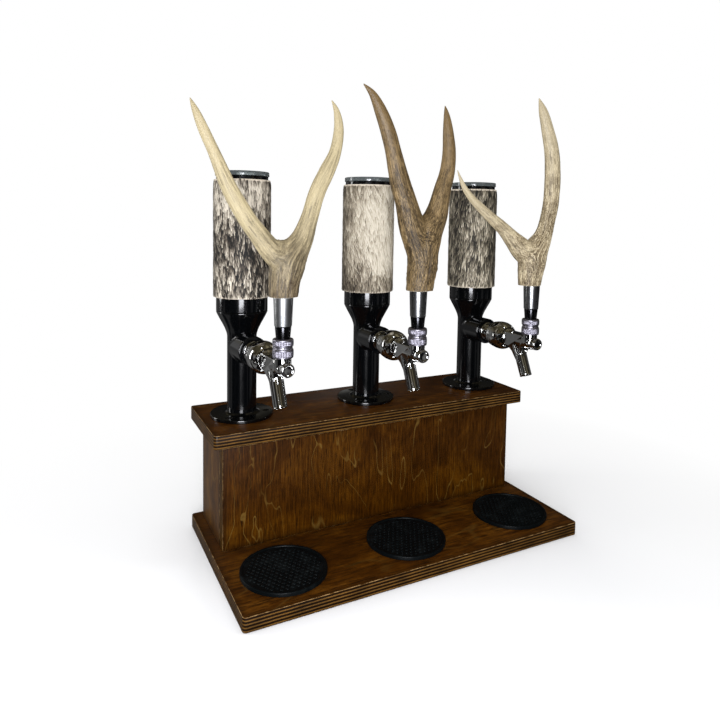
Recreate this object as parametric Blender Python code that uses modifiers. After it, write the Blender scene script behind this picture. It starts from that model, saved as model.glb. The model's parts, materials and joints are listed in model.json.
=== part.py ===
"""Three-tap drinks dispenser on a stained plywood stand.

Each tap is a flanged black column with a hide-wrapped reservoir on top, a chrome
faucet at the front and a forked antler as its handle.  Three rubber mats lie on
the base board under the spouts.

Row frame: metres, +Z up, the front towards -Y, origin at the middle of the base
board's underside.  Tap parts are placed from an empty at their column's foot,
faucet parts from an empty on the faucet's axis, and handle parts from an empty on
the handle's tilt axis.
"""

import math

import bmesh
import bpy
from mathutils import Matrix, Vector

MM = 0.001
GAP = 0.3 * MM                    # clearance between pieces that touch

# ---- stand: stained birch plywood -------------------------------------------------
PLY = 19 * MM                     # both boards
PANEL = 18 * MM                   # the riser's four panels
BASE_WIDTH = 520 * MM
BASE_DEPTH = 280 * MM
TOP_WIDTH = 522 * MM
TOP_FRONT_Y = -8 * MM
TOP_BACK_Y = 140 * MM
RISER_HEIGHT = 150 * MM
RISER_WIDTH = 490 * MM
RISER_FRONT_Y = 10 * MM
RISER_BACK_Y = 128 * MM
BOARD_CORNER = 5 * MM             # plan radius of the boards' corners
DECK_Z = 2 * PLY + RISER_HEIGHT   # top face of the top board

# ---- rubber mats ------------------------------------------------------------------
MAT_RADIUS = 56.75 * MM
MAT_HEIGHT = 5 * MM
MAT_FLOOR = 3.8 * MM              # height of the field inside the raised rim
MAT_RIM = 3.5 * MM
MAT_Y = -69.5 * MM
MAT_XS = (-185.7 * MM, -1.5 * MM, 187.6 * MM)

# ---- columns, from each column's foot on the top board --------------------------
TAP_SPACING = 203.5 * MM
TAP_MIDDLE_X = 1.1 * MM
TAP_Y = 67.5 * MM
FAUCET_TURN = (3.0, 0.0, 0.0)     # degrees each faucet is turned off straight ahead
FLANGE_RADIUS = 45 * MM
FLANGE_HEIGHT = 5 * MM
SCREW_CIRCLE = 35 * MM            # radius of the three-screw pattern
SCREW_ANGLES = (-17, 103, 223)
SCREW_HOLE = 2.6 * MM
SCREW_SINK = 5 * MM
PIPE_RADIUS = 21 * MM
PIPE_BORE = 18 * MM
PIPE_FOOT = 3.3 * MM
BELL_START = 118 * MM
BELL_TOP = 154 * MM
BOSS_Z = 102 * MM                 # axis height of the side boss and the faucet
BOSS_REACH = 48 * MM

# ---- reservoir, sleeve and lid ----------------------------------------------------
VESSEL_RADIUS = 36.5 * MM
VESSEL_WALL = 2 * MM
VESSEL_TOP = 345 * MM
SPIGOT_RADIUS = 7 * MM
SPIGOT_BORE = 4.6 * MM
SPIGOT_LENGTH = 14 * MM
SLEEVE_RADIUS = 41.2 * MM
SLEEVE_BOTTOM = 174 * MM
SLEEVE_TOP = 340 * MM
LID_RADIUS = 38 * MM
LID_HEIGHT = 6.2 * MM
LID_SKIRT = 32.8 * MM
SLOT_REAR = 12 * MM               # pouring slot, from the lid's middle outwards
SLOT_FRONT = 26 * MM
SLOT_HALF = 5 * MM
TAB_OVERLAP = 3 * MM              # how far the shut tab covers the slot's ends
TUBE_RADIUS = 4.2 * MM
TUBE_WALL = 1.0 * MM
TUBE_BEND = 10 * MM

# ---- faucet, distances measured forward from the column's axis --------------------
SHANK_RADIUS = 11 * MM
SHANK_BORE = 4.6 * MM
SHANK_REAR = 12 * MM
NUT_REAR = 66.5 * MM
NUT_FRONT = 103 * MM
NUT_MIDDLE = 87.5 * MM            # centre of its ball-shaped front
NUT_RADIUS = 22 * MM
NUT_BORE = 14.6 * MM
PLUG_REAR = 75.3 * MM             # faucet body's threaded rear end
SEAT_FRONT = 103 * MM             # step that the valve seals against
SEAT_BORE = 9.4 * MM
GUIDE_BORE = 5.3 * MM
GUIDE_END = 164 * MM
KNOB_FRONT = 170 * MM
KNOB_RADIUS = 9 * MM
HANDLE_REACH = 152 * MM           # handle axis in front of the column axis
BARREL_RADIUS = 10.2 * MM
BARREL_FLAT = 10.4 * MM           # half width across the barrel's flat sides
SPOUT_RADIUS = 8.7 * MM
SPOUT_BORE = 5.6 * MM
SPOUT_TOP = (122.5 * MM, 102 * MM)  # forward distance and height of the spout's ends
SPOUT_END = (145.5 * MM, 50 * MM)

# ---- handle, heights measured from the tilt axis ----------------------------------
PIVOT_Z = 118 * MM
LEVER_ARM = 16 * MM               # tilt axis down to the valve shaft
RING_RADIUS = 13.2 * MM           # bonnet nut and lever collar
DOME_RADIUS = 16.1 * MM           # ball-shaped face between them
BONNET_BOTTOM = -2.7 * MM
COLLAR_TOP = 21 * MM
FERRULE_STEP = 37 * MM
FERRULE_TOP = 72.7 * MM
STUD_TOP = 60 * MM
ANTLER_BASE = 73 * MM
ANTLER_DEPTH = 0.85               # front-to-back thickness over width

# Antler stations: sideways position, height above the saw cut, radius (millimetres).
# "right" runs from below the saw cut up the right tine, and "left" is the other tine.
ANTLERS = (
    {"turn": 0.0,
     "right": ((0, -6, 18.3), (1.5, 20, 20.5), (7, 44, 22.5), (22, 70, 16), (34, 97, 11.2),
               (45, 131, 10.4), (58, 156, 10.3), (69, 180, 8.1), (74, 208, 6.8),
               (71, 231, 4.4), (63, 246, 1)),
     "left": ((4, 38, 17), (-16, 58, 15), (-32, 76, 12), (-46, 94, 10.9), (-67, 128, 9.8),
              (-87, 172, 7.2), (-98, 195, 6.4), (-107, 215, 4.5), (-114, 230, 1))},
    {"turn": 0.0,
     "right": ((1, -6, 21.5), (5, 16, 26.5), (6, 40, 28), (12, 72, 24), (28, 105, 16.5),
               (35, 137, 12.6), (43, 164, 11.2), (45.5, 192, 9.8), (43, 219, 7.8),
               (40, 240, 4.8), (36.5, 255, 1)),
     "left": ((2, 55, 24), (-13, 88, 20), (-22, 118, 15.6), (-33, 148, 14), (-44, 187, 11.3),
              (-52, 212, 10.5), (-64, 238, 8.6), (-76, 258, 5.2), (-90, 270, 1.2))},
    {"turn": -8.0,
     "right": ((-5.5, -6, 20.6), (-3, 22, 24), (0, 44, 24.5), (14, 74, 16), (23, 96, 12.9),
               (30, 128, 13.5), (30.5, 172, 13.4), (27, 206, 12.4), (18, 238, 9.8),
               (10, 262, 7.3), (1.5, 282, 1)),
     "left": ((0, 40, 18), (-20, 56, 14.5), (-42, 73, 10), (-55.5, 84, 8.4),
              (-80, 104, 7.2), (-104, 126, 5.9), (-120, 145, 4.2), (-132, 170, 1))},
)

ROUND = 20                        # segments round the large pieces
FINE = 14                         # round the faucet and handle pieces
SMALL = 10                        # and round screw holes, rods and bores


# ---- scene helpers ----------------------------------------------------------------
def clear_scene():
    for obj in list(bpy.data.objects):
        bpy.data.objects.remove(obj, do_unlink=True)


def new_collection(name):
    collection = bpy.data.collections.new(name)
    bpy.context.scene.collection.children.link(collection)
    return collection


def new_material(name, colour, roughness, metallic=0.0, alpha=1.0):
    material = bpy.data.materials.new(name)
    material.use_nodes = True
    shader = material.node_tree.nodes["Principled BSDF"]
    shader.inputs["Base Color"].default_value = (*colour, 1.0)
    shader.inputs["Roughness"].default_value = roughness
    shader.inputs["Metallic"].default_value = metallic
    shader.inputs["Alpha"].default_value = alpha
    return material


def make_materials():
    return {
        "plywood": new_material("plywood", (0.16, 0.065, 0.022), 0.35),
        "rubber": new_material("rubber", (0.012, 0.012, 0.014), 0.6),
        "black_paint": new_material("black_paint", (0.006, 0.006, 0.008), 0.22),
        "hide": new_material("hide", (0.36, 0.31, 0.25), 0.85),
        "smoked_plastic": new_material("smoked_plastic", (0.11, 0.12, 0.12), 0.15, 0.0, 0.75),
        "seal_rubber": new_material("seal_rubber", (0.4, 0.4, 0.4), 0.5),
        "feed_tube": new_material("feed_tube", (0.6, 0.6, 0.58), 0.4),
        "chrome": new_material("chrome", (0.75, 0.75, 0.74), 0.08, 1.0),
        "steel": new_material("steel", (0.5, 0.5, 0.5), 0.3, 1.0),
        "antler": new_material("antler", (0.5, 0.42, 0.31), 0.55),
    }


def add_part(name, mesh, material, parent=None, tool=False):
    """Link a mesh as a part, or as a cutter or guide when tool is set."""
    obj = bpy.data.objects.new(name, mesh)
    (TOOLS if tool else PARTS).objects.link(obj)
    obj.parent = parent
    if tool:
        obj.hide_render = True
        obj.display_type = "WIRE"
    elif material is not None:
        obj.data.materials.append(material)
    return obj


def add_empty(name, location, parent=None, turn=0.0):
    empty = bpy.data.objects.new(name, None)
    TOOLS.objects.link(empty)
    empty.location = location
    empty.rotation_euler = (0.0, 0.0, math.radians(turn))
    empty.parent = parent
    return empty


def mesh_from(bm, name):
    mesh = bpy.data.meshes.new(name)
    bm.to_mesh(mesh)
    bm.free()
    return mesh


# ---- shapes -----------------------------------------------------------------------
def box(name, low, high, material=None, parent=None, corner=0.0, tool=False):
    """Box between two corners, its four upright edges rounded to radius corner."""
    low = Vector(low)
    high = Vector(high)
    bm = bmesh.new()
    bmesh.ops.create_cube(bm, size=1.0)
    bmesh.ops.scale(bm, vec=high - low, verts=bm.verts)
    bmesh.ops.translate(bm, vec=(low + high) / 2, verts=bm.verts)
    if corner:
        upright = [e for e in bm.edges
                   if abs(e.verts[0].co.z - e.verts[1].co.z) > 0.5 * (high.z - low.z)]
        bmesh.ops.bevel(bm, geom=upright, offset=corner, segments=3, profile=0.5,
                        affect="EDGES")
    return add_part(name, mesh_from(bm, name), material, parent, tool)


def rod(name, start, end, radius, parent=None, segments=FINE, end_radius=None):
    """Round guide or cutter between two points, tapering to end_radius."""
    start = Vector(start)
    end = Vector(end)
    bm = bmesh.new()
    bmesh.ops.create_cone(bm, cap_ends=True, segments=segments, radius1=radius,
                          radius2=radius if end_radius is None else end_radius,
                          depth=(end - start).length)
    turn = Vector((0, 0, 1)).rotation_difference(end - start)
    place = Matrix.Translation((start + end) / 2) @ turn.to_matrix().to_4x4()
    bmesh.ops.transform(bm, matrix=place, verts=bm.verts)
    return add_part(name, mesh_from(bm, name), None, parent, tool=True)


def turned(name, profile, material=None, parent=None, segments=FINE, hollow=False,
           forward=False, tool=False):
    """Turn a (radius, height) profile, listed down its outer side from the top.

    A hollow profile is a closed loop; a solid one starts and ends on the axis.
    forward lays the axis along the faucet, pointing away from the column.
    """
    count = len(profile)
    edges = [(i, i + 1) for i in range(count - 1)]
    if hollow:
        edges.append((count - 1, 0))
    mesh = bpy.data.meshes.new(name)
    mesh.from_pydata([(radius, 0.0, height) for radius, height in profile], edges, [])
    obj = add_part(name, mesh, material, parent, tool)
    if forward:
        obj.rotation_euler = (math.pi / 2, 0.0, 0.0)
    screw = obj.modifiers.new("turn", "SCREW")
    screw.axis = "Z"
    screw.steps = segments
    screw.render_steps = segments
    screw.use_merge_vertices = True
    screw.merge_threshold = 0.00001
    return obj


def combine(target, operation, *tools):
    for tool in tools:
        boolean = target.modifiers.new(tool.name, "BOOLEAN")
        boolean.operation = operation
        boolean.object = tool
        boolean.solver = "EXACT"
    return target


def arc(centre, radius, start, end, steps):
    """Points on a circle in a profile, angles in degrees from the radius axis."""
    angles = [math.radians(start + (end - start) * i / steps) for i in range(steps + 1)]
    return [(centre[0] + radius * math.cos(a), centre[1] + radius * math.sin(a))
            for a in angles]


def curve_object(name, splines, tool=False):
    """POLY curve through lists of (point, radius); the radius scales the bevel."""
    curve = bpy.data.curves.new(name, "CURVE")
    curve.dimensions = "3D"
    for stations in splines:
        spline = curve.splines.new("POLY")
        spline.points.add(len(stations) - 1)
        for point, (place, radius) in zip(spline.points, stations):
            point.co = (*place, 1.0)
            point.radius = radius
    obj = bpy.data.objects.new(name, curve)
    (TOOLS if tool else PARTS).objects.link(obj)
    return obj


def curve_mesh(obj, name):
    """Closed mesh of an evaluated curve, which is then removed."""
    graph = bpy.context.evaluated_depsgraph_get()
    mesh = bpy.data.meshes.new_from_object(obj.evaluated_get(graph))
    curve = obj.data
    bpy.data.objects.remove(obj, do_unlink=True)
    bpy.data.curves.remove(curve)
    bm = bmesh.new()
    bm.from_mesh(mesh)
    bpy.data.meshes.remove(mesh)
    bmesh.ops.remove_doubles(bm, verts=bm.verts, dist=0.00001)
    bmesh.ops.recalc_face_normals(bm, faces=bm.faces)
    return mesh_from(bm, name)


def smooth_stations(stations, steps):
    """Catmull-Rom points through the stations, steps points to each span."""
    padded = [stations[0], *stations, stations[-1]]
    points = []
    for a, b, c, d in zip(padded, padded[1:], padded[2:], padded[3:]):
        for i in range(steps):
            t = i / steps
            points.append(tuple(
                0.5 * (2 * q + (r - p) * t + (2 * p - 5 * q + 4 * r - s) * t * t
                       + (3 * q - p - 3 * r + s) * t ** 3)
                for p, q, r, s in zip(a, b, c, d)))
    points.append(stations[-1])
    return points


# ---- stand ------------------------------------------------------------------------
def make_stand(material):
    half_base = BASE_WIDTH / 2
    half_top = TOP_WIDTH / 2
    half_riser = RISER_WIDTH / 2
    floor = PLY + GAP
    ceiling = PLY + RISER_HEIGHT - GAP
    box("base_board", (-half_base, -BASE_DEPTH / 2, 0), (half_base, BASE_DEPTH / 2, PLY),
        material, corner=BOARD_CORNER)
    box("top_board", (-half_top, TOP_FRONT_Y, PLY + RISER_HEIGHT),
        (half_top, TOP_BACK_Y, DECK_Z), material, corner=BOARD_CORNER)
    box("riser_front_panel", (-half_riser, RISER_FRONT_Y, floor),
        (half_riser, RISER_FRONT_Y + PANEL, ceiling), material)
    inner = half_riser - PANEL
    side_front = RISER_FRONT_Y + PANEL + GAP
    box("riser_left_panel", (-half_riser, side_front, floor),
        (-inner, RISER_BACK_Y, ceiling), material)
    box("riser_right_panel", (inner, side_front, floor),
        (half_riser, RISER_BACK_Y, ceiling), material)
    box("riser_back_panel", (-inner + GAP, RISER_BACK_Y - PANEL, floor),
        (inner - GAP, RISER_BACK_Y, ceiling), material)


def make_mat(number, x, material):
    bottom = PLY + GAP
    field = MAT_RADIUS - MAT_RIM
    profile = [(0, MAT_FLOOR), (field - 1 * MM, MAT_FLOOR), (field, MAT_HEIGHT),
               (MAT_RADIUS - 1 * MM, MAT_HEIGHT), (MAT_RADIUS, MAT_HEIGHT - 1 * MM),
               (MAT_RADIUS, 0), (0, 0)]
    mat = turned(f"mat_{number}", profile, material, segments=ROUND)
    mat.location = (x, MAT_Y, bottom)


# ---- column and reservoir ---------------------------------------------------------
def make_flange(number, foot, material):
    seat = PIPE_RADIUS + GAP
    profile = [(seat, 8 * MM), (seat + 1.5 * MM, 6.2 * MM), (seat + 4.5 * MM, FLANGE_HEIGHT),
               (FLANGE_RADIUS - 1 * MM, FLANGE_HEIGHT), (FLANGE_RADIUS, FLANGE_HEIGHT - 1 * MM),
               (FLANGE_RADIUS, GAP), (PIPE_BORE, GAP), (PIPE_BORE, PIPE_FOOT - GAP),
               (seat, PIPE_FOOT - GAP)]
    flange = turned(f"tower_flange_{number}", profile, material, foot, ROUND, hollow=True)
    for index, angle in enumerate(SCREW_ANGLES):
        x = SCREW_CIRCLE * math.cos(math.radians(angle))
        y = SCREW_CIRCLE * math.sin(math.radians(angle))
        sink_bottom = FLANGE_HEIGHT - SCREW_SINK / 2
        hole = rod(f"screw_hole_{number}_{index}", (x, y, -MM), (x, y, sink_bottom),
                   SCREW_HOLE, foot, SMALL)
        sink = rod(f"screw_sink_{number}_{index}", (x, y, sink_bottom - 0.1 * MM),
                   (x, y, FLANGE_HEIGHT + 0.5 * MM), SCREW_HOLE, foot, SMALL, SCREW_SINK)
        combine(flange, "DIFFERENCE", hole, sink)


def make_column(number, foot, faucet, material):
    """Pipe, side boss and bell, bored through as one welded piece."""
    rim = BELL_TOP - GAP
    bell = [(0, rim), (VESSEL_RADIUS - 0.8 * MM, rim), (VESSEL_RADIUS, rim - 0.8 * MM),
            (VESSEL_RADIUS - 0.5 * MM, rim - 3.5 * MM), (33 * MM, 146 * MM), (27 * MM, 136 * MM),
            (24 * MM, 129.5 * MM), (22 * MM, 123.5 * MM), (PIPE_RADIUS, BELL_START)]
    column = turned(f"tower_column_{number}",
                    bell + [(PIPE_RADIUS, PIPE_FOOT), (0, PIPE_FOOT)],
                    material, foot, ROUND)
    boss = rod(f"boss_{number}", (0, 0, BOSS_Z), (0, -BOSS_REACH, BOSS_Z), PIPE_RADIUS,
               faucet, ROUND)
    bore = turned(f"column_bore_{number}",
                  [(0, rim + MM), (31 * MM, rim + MM), (31 * MM, rim - 4 * MM), (22 * MM, 134 * MM),
                   (PIPE_BORE, 124 * MM), (PIPE_BORE, PIPE_FOOT - MM), (0, PIPE_FOOT - MM)],
                  None, foot, ROUND, tool=True)
    cross_bore = rod(f"boss_bore_{number}", (0, 0, BOSS_Z), (0, -BOSS_REACH - MM, BOSS_Z),
                     SHANK_RADIUS + GAP, faucet)
    combine(column, "UNION", boss)
    combine(column, "DIFFERENCE", bore, cross_bore)


def make_reservoir(number, foot, material):
    inner = VESSEL_RADIUS - VESSEL_WALL
    floor = BELL_TOP + 3 * MM
    profile = [(inner, VESSEL_TOP), (VESSEL_RADIUS, VESSEL_TOP), (VESSEL_RADIUS, BELL_TOP),
               (SPIGOT_RADIUS, BELL_TOP), (SPIGOT_RADIUS, BELL_TOP - SPIGOT_LENGTH),
               (SPIGOT_BORE, BELL_TOP - SPIGOT_LENGTH), (SPIGOT_BORE, floor - MM),
               (inner - 3 * MM, floor), (inner, floor + 3 * MM)]
    turned(f"reservoir_{number}", profile, material, foot, ROUND, hollow=True)


def make_sleeve(number, foot, material):
    inner = VESSEL_RADIUS + GAP
    profile = [(inner, SLEEVE_TOP), (SLEEVE_RADIUS, SLEEVE_TOP), (SLEEVE_RADIUS, SLEEVE_BOTTOM),
               (inner, SLEEVE_BOTTOM)]
    turned(f"hide_sleeve_{number}", profile, material, foot, ROUND, hollow=True)


def make_feed_tube(number, faucet, material):
    """Bent tube from the reservoir's spigot down and forward into the shank."""
    bend_centre_y = -TUBE_BEND
    bend_centre_z = BOSS_Z + TUBE_BEND
    points = [(0, 0, BELL_TOP - 7 * MM)]
    for y, z in arc((bend_centre_y, bend_centre_z), TUBE_BEND, 0, -90, 4):
        points.append((0, y, z))
    points.append((0, -SHANK_REAR - 8 * MM, BOSS_Z))
    tube = curve_object(f"feed_tube_{number}", [[(point, 1.0) for point in points]])
    tube.data.bevel_depth = TUBE_RADIUS
    tube.data.bevel_resolution = 2
    tube.data.use_fill_caps = False
    tube.data.materials.append(material)
    tube.parent = faucet
    wall = tube.modifiers.new("wall", "SOLIDIFY")
    wall.thickness = TUBE_WALL
    wall.offset = -1.0


def make_lid(number, foot, materials):
    """Press-in lid with its seal ring, and a tab that slides over the pouring slot."""
    bottom = VESSEL_TOP + GAP
    top = bottom + LID_HEIGHT
    plate = top - 2.5 * MM
    skirt_inner = LID_SKIRT - 2 * MM
    skirt_bottom = VESSEL_TOP - 7 * MM
    seal_radius = VESSEL_RADIUS - VESSEL_WALL - GAP
    profile = [(0, plate), (33 * MM, plate), (34 * MM, top), (LID_RADIUS - 1 * MM, top),
               (LID_RADIUS, top - 1.2 * MM), (LID_RADIUS, bottom), (LID_SKIRT, bottom),
               (LID_SKIRT, skirt_bottom), (skirt_inner, skirt_bottom), (skirt_inner, bottom),
               (0, bottom)]
    lid = turned(f"lid_{number}", profile, materials["smoked_plastic"], foot, ROUND)
    slot = box(f"lid_slot_{number}", (SLOT_REAR, -SLOT_HALF, bottom - MM),
               (SLOT_FRONT, SLOT_HALF, top), parent=foot, tool=True)
    combine(lid, "DIFFERENCE", slot)
    turned(f"lid_gasket_{number}",
           [(LID_SKIRT + GAP, skirt_bottom + 5 * MM), (seal_radius, skirt_bottom + 5 * MM),
            (seal_radius, skirt_bottom + MM), (LID_SKIRT + GAP, skirt_bottom + MM)],
           materials["seal_rubber"], foot, ROUND, hollow=True)
    tab_half = SLOT_HALF + 2 * MM
    slider = box(f"lid_slider_{number}", (SLOT_REAR - TAB_OVERLAP, -tab_half, plate + GAP),
                 (SLOT_FRONT + TAB_OVERLAP, tab_half, plate + 2 * MM),
                 materials["smoked_plastic"], foot, corner=3 * MM)
    thumb = box(f"slider_thumb_{number}", (16 * MM, -6 * MM, plate + MM),
                (20 * MM, 6 * MM, plate + 4.4 * MM), parent=foot, tool=True)
    combine(slider, "UNION", thumb)


# ---- faucet -----------------------------------------------------------------------
def make_shank(number, axis, material):
    """Threaded tube with a washer face at the boss and a flange inside the nut."""
    flange = 14.2 * MM
    nose = PLUG_REAR - 2 * GAP
    profile = [(SHANK_BORE, nose), (flange, nose), (flange, NUT_REAR + 4.3 * MM),
               (SHANK_RADIUS, NUT_REAR + 4.3 * MM), (SHANK_RADIUS, BOSS_REACH + 3.5 * MM),
               (15 * MM, BOSS_REACH + 3 * MM), (15 * MM, BOSS_REACH + GAP),
               (SHANK_RADIUS, BOSS_REACH + GAP), (SHANK_RADIUS, SHANK_REAR),
               (SHANK_BORE, SHANK_REAR)]
    turned(f"shank_{number}", profile, material, axis, hollow=True, forward=True)


def make_coupling_nut(number, axis, material):
    rear_bore = SHANK_RADIUS + 0.4 * MM
    front_edge = math.degrees(math.asin((NUT_FRONT - NUT_MIDDLE) / NUT_RADIUS))
    ball = arc((0, NUT_MIDDLE), NUT_RADIUS, front_edge, 0, 4)
    profile = ([(NUT_BORE, NUT_FRONT)] + ball
               + [(21.6 * MM, 80 * MM), (20.4 * MM, 73 * MM), (19 * MM, NUT_REAR + 2 * MM),
                  (16 * MM, NUT_REAR), (rear_bore, NUT_REAR), (rear_bore, NUT_REAR + 4 * MM),
                  (NUT_BORE, NUT_REAR + 4 * MM)])
    turned(f"coupling_nut_{number}", profile, material, axis, ROUND, hollow=True, forward=True)


def faucet_web(number, axis):
    """Flat-sided hood over the barrel, tapering into a fin down the back of the spout."""
    outline = [(104, 10.4), (147, 10.4), (149, 3), (141, -4), (133, -30), (129.5, -38),
               (123.5, -29), (120, -19), (113, -11.5), (104, -10.4)]
    fin_top, fin_narrowing = -10.4 * MM, 0.3
    curve = bpy.data.curves.new(f"web_{number}", "CURVE")
    curve.dimensions = "2D"
    curve.fill_mode = "BOTH"
    curve.extrude = BARREL_FLAT
    spline = curve.splines.new("POLY")
    spline.points.add(len(outline) - 1)
    spline.use_cyclic_u = True
    for point, (forward, height) in zip(spline.points, outline):
        point.co = (forward * MM, height * MM, 0.0, 1.0)
    obj = bpy.data.objects.new(f"web_{number}", curve)
    TOOLS.objects.link(obj)
    web = add_part(f"faucet_web_{number}", curve_mesh(obj, f"web_{number}"), None, axis, tool=True)
    for vertex in web.data.vertices:
        below = max(fin_top - vertex.co.y, 0.0)
        vertex.co.z *= 1 - fin_narrowing * below / BARREL_FLAT
    web.rotation_euler = (math.pi / 2, 0.0, -math.pi / 2)
    return web


def make_faucet_body(number, axis, material):
    """Barrel, bonnet seat and spout in one casting, bored for the valve and lever."""
    barrel = [(0, KNOB_FRONT - 1.2 * MM), (6.2 * MM, KNOB_FRONT - 1.2 * MM),
              (6.8 * MM, KNOB_FRONT), (KNOB_RADIUS - 1 * MM, KNOB_FRONT),
              (KNOB_RADIUS, KNOB_FRONT - 1 * MM), (KNOB_RADIUS, 162 * MM),
              (BARREL_RADIUS, 158 * MM), (BARREL_RADIUS, 107 * MM), (13.2 * MM, 105 * MM),
              (14.2 * MM, NUT_FRONT + GAP), (14.2 * MM, PLUG_REAR), (0, PLUG_REAR)]
    body = turned(f"faucet_body_{number}", barrel, material, axis, forward=True)
    seat_top = PIVOT_Z - BOSS_Z + BONNET_BOTTOM - GAP
    seat = rod(f"bonnet_seat_{number}", (0, -HANDLE_REACH, 0), (0, -HANDLE_REACH, seat_top),
               10.5 * MM, axis)
    top = Vector((0, -SPOUT_TOP[0], SPOUT_TOP[1] - BOSS_Z))
    end = Vector((0, -SPOUT_END[0], SPOUT_END[1] - BOSS_Z))
    spout = rod(f"spout_{number}", top, end, SPOUT_RADIUS + 0.8 * MM, axis, FINE, SPOUT_RADIUS)
    combine(body, "UNION", seat, faucet_web(number, axis), spout)
    beyond = end + (end - top).normalized() * MM
    spout_bore = rod(f"spout_bore_{number}", top, beyond, SPOUT_BORE, axis, SMALL)
    valve_bore = turned(f"valve_bore_{number}",
                        [(0, GUIDE_END), (GUIDE_BORE, GUIDE_END), (GUIDE_BORE, SEAT_FRONT),
                         (SEAT_BORE, SEAT_FRONT), (SEAT_BORE, PLUG_REAR - MM), (0, PLUG_REAR - MM)],
                        None, axis, SMALL, forward=True, tool=True)
    lever_slot = box(f"lever_slot_{number}", (-3.3 * MM, -HANDLE_REACH - 3.4 * MM, 0),
                     (3.3 * MM, -HANDLE_REACH + 9.4 * MM, 20 * MM), parent=axis, tool=True)
    ball_pocket = rod(f"ball_pocket_{number}", (0, -HANDLE_REACH, 8.5 * MM),
                      (0, -HANDLE_REACH, 20 * MM), 6.3 * MM, axis, SMALL)
    combine(body, "DIFFERENCE", spout_bore, valve_bore, lever_slot, ball_pocket)


def make_valve_shaft(number, axis, material):
    """Shaft with its seal at the rear and a slotted guide that the lever moves."""
    rod_radius = 3 * MM
    guide = GUIDE_BORE - GAP
    seal = 8.4 * MM
    profile = [(0, 162 * MM), (guide, 162 * MM), (guide, 140 * MM), (rod_radius, 139 * MM),
               (rod_radius, SEAT_FRONT - 1 * MM), (seal, SEAT_FRONT - 1 * MM),
               (seal, SEAT_FRONT - 5 * MM), (rod_radius, SEAT_FRONT - 5 * MM),
               (rod_radius, SEAT_FRONT - 15 * MM), (0, SEAT_FRONT - 15 * MM)]
    shaft = turned(f"valve_shaft_{number}", profile, material, axis, SMALL, forward=True)
    slot = box(f"shaft_slot_{number}", (-3.3 * MM, -HANDLE_REACH - 4 * MM, -10 * MM),
               (3.3 * MM, -HANDLE_REACH + 4 * MM, 10 * MM), parent=axis, tool=True)
    combine(shaft, "DIFFERENCE", slot)


def make_bonnet_nut(number, pivot, material):
    """Fixed ring with a ball-shaped top, slotted for the lever's swing."""
    edge = math.degrees(math.acos(RING_RADIUS / DOME_RADIUS))
    inner_edge = math.degrees(math.acos(5 * MM / DOME_RADIUS))
    dome = arc((0, 0), DOME_RADIUS, inner_edge, edge, 3)
    seat = 10.8 * MM
    roof = 7 * MM
    groove = 1.4 * MM
    profile = dome + [(RING_RADIUS, 0.5 * MM), (RING_RADIUS - groove, BONNET_BOTTOM),
                      (seat, BONNET_BOTTOM), (seat, roof), (5 * MM, roof)]
    nut = turned(f"bonnet_nut_{number}", profile, material, pivot, hollow=True)
    slot = box(f"bonnet_slot_{number}", (-4.6 * MM, -11.9 * MM, 2 * MM),
               (4.6 * MM, 2 * MM, 20 * MM), parent=pivot, tool=True)
    combine(nut, "DIFFERENCE", slot)


# ---- handle -----------------------------------------------------------------------
def make_lever(number, pivot, material):
    """Ball-pivoted lever: a small ball in the valve shaft, a threaded stud on top."""
    tip_radius = 3 * MM
    tip = arc((0, -LEVER_ARM), tip_radius, 50, -60, 2)
    ball = arc((0, 0), 5.6 * MM, 45, -60, 3)
    profile = ([(0, STUD_TOP), (4.7 * MM, STUD_TOP), (4.7 * MM, COLLAR_TOP + GAP),
                (4 * MM, COLLAR_TOP + GAP)] + ball + [(2.5 * MM, -6 * MM)] + tip
               + [(0, -LEVER_ARM - tip_radius)])
    turned(f"lever_{number}", profile, material, pivot, SMALL)


def make_collar(number, pivot, material):
    """Ring that rides over the bonnet nut's ball-shaped top as the lever tilts."""
    dish = DOME_RADIUS + 0.4 * MM
    bore = 4.3 * MM
    low = math.degrees(math.acos(RING_RADIUS / dish))
    high = math.degrees(math.acos(bore / dish))
    under = arc((0, 0), dish, low, high, 4)
    profile = [(bore, COLLAR_TOP), (RING_RADIUS - 1.6 * MM, COLLAR_TOP),
               (RING_RADIUS, COLLAR_TOP - 2 * MM)] + under
    turned(f"lever_collar_{number}", profile, material, pivot, hollow=True)


def make_ferrule(number, pivot, material):
    bore = 5 * MM
    bottom = COLLAR_TOP + GAP
    profile = [(bore, FERRULE_TOP), (12.25 * MM, FERRULE_TOP), (10.85 * MM, FERRULE_STEP),
               (10.25 * MM, FERRULE_STEP - 0.6 * MM), (8.85 * MM, bottom), (bore, bottom)]
    turned(f"handle_ferrule_{number}", profile, material, pivot, hollow=True)


def tine_mesh(name, stations):
    """Tapered round tine through its stations, flattened front to back."""
    points = [((x * MM, 0.0, z * MM), radius * MM)
              for x, z, radius in smooth_stations(stations, 2)]
    curve = curve_object(name, [points], tool=True)
    curve.data.bevel_depth = 1.0
    curve.data.bevel_resolution = 1
    curve.data.use_fill_caps = True
    mesh = curve_mesh(curve, name)
    mesh.transform(Matrix.Diagonal((1.0, ANTLER_DEPTH, 1.0, 1.0)))
    return mesh


def saw_cut(mesh):
    """Cut everything below height zero off a closed mesh and close it with a flat face."""
    bm = bmesh.new()
    bm.from_mesh(mesh)
    bmesh.ops.bisect_plane(bm, geom=bm.verts[:] + bm.edges[:] + bm.faces[:],
                           plane_co=(0, 0, 0), plane_no=(0, 0, 1), clear_inner=True)
    rim = [edge for edge in bm.edges if edge.is_boundary]
    bmesh.ops.contextual_create(bm, geom=rim)
    bm.to_mesh(mesh)
    bm.free()


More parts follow.
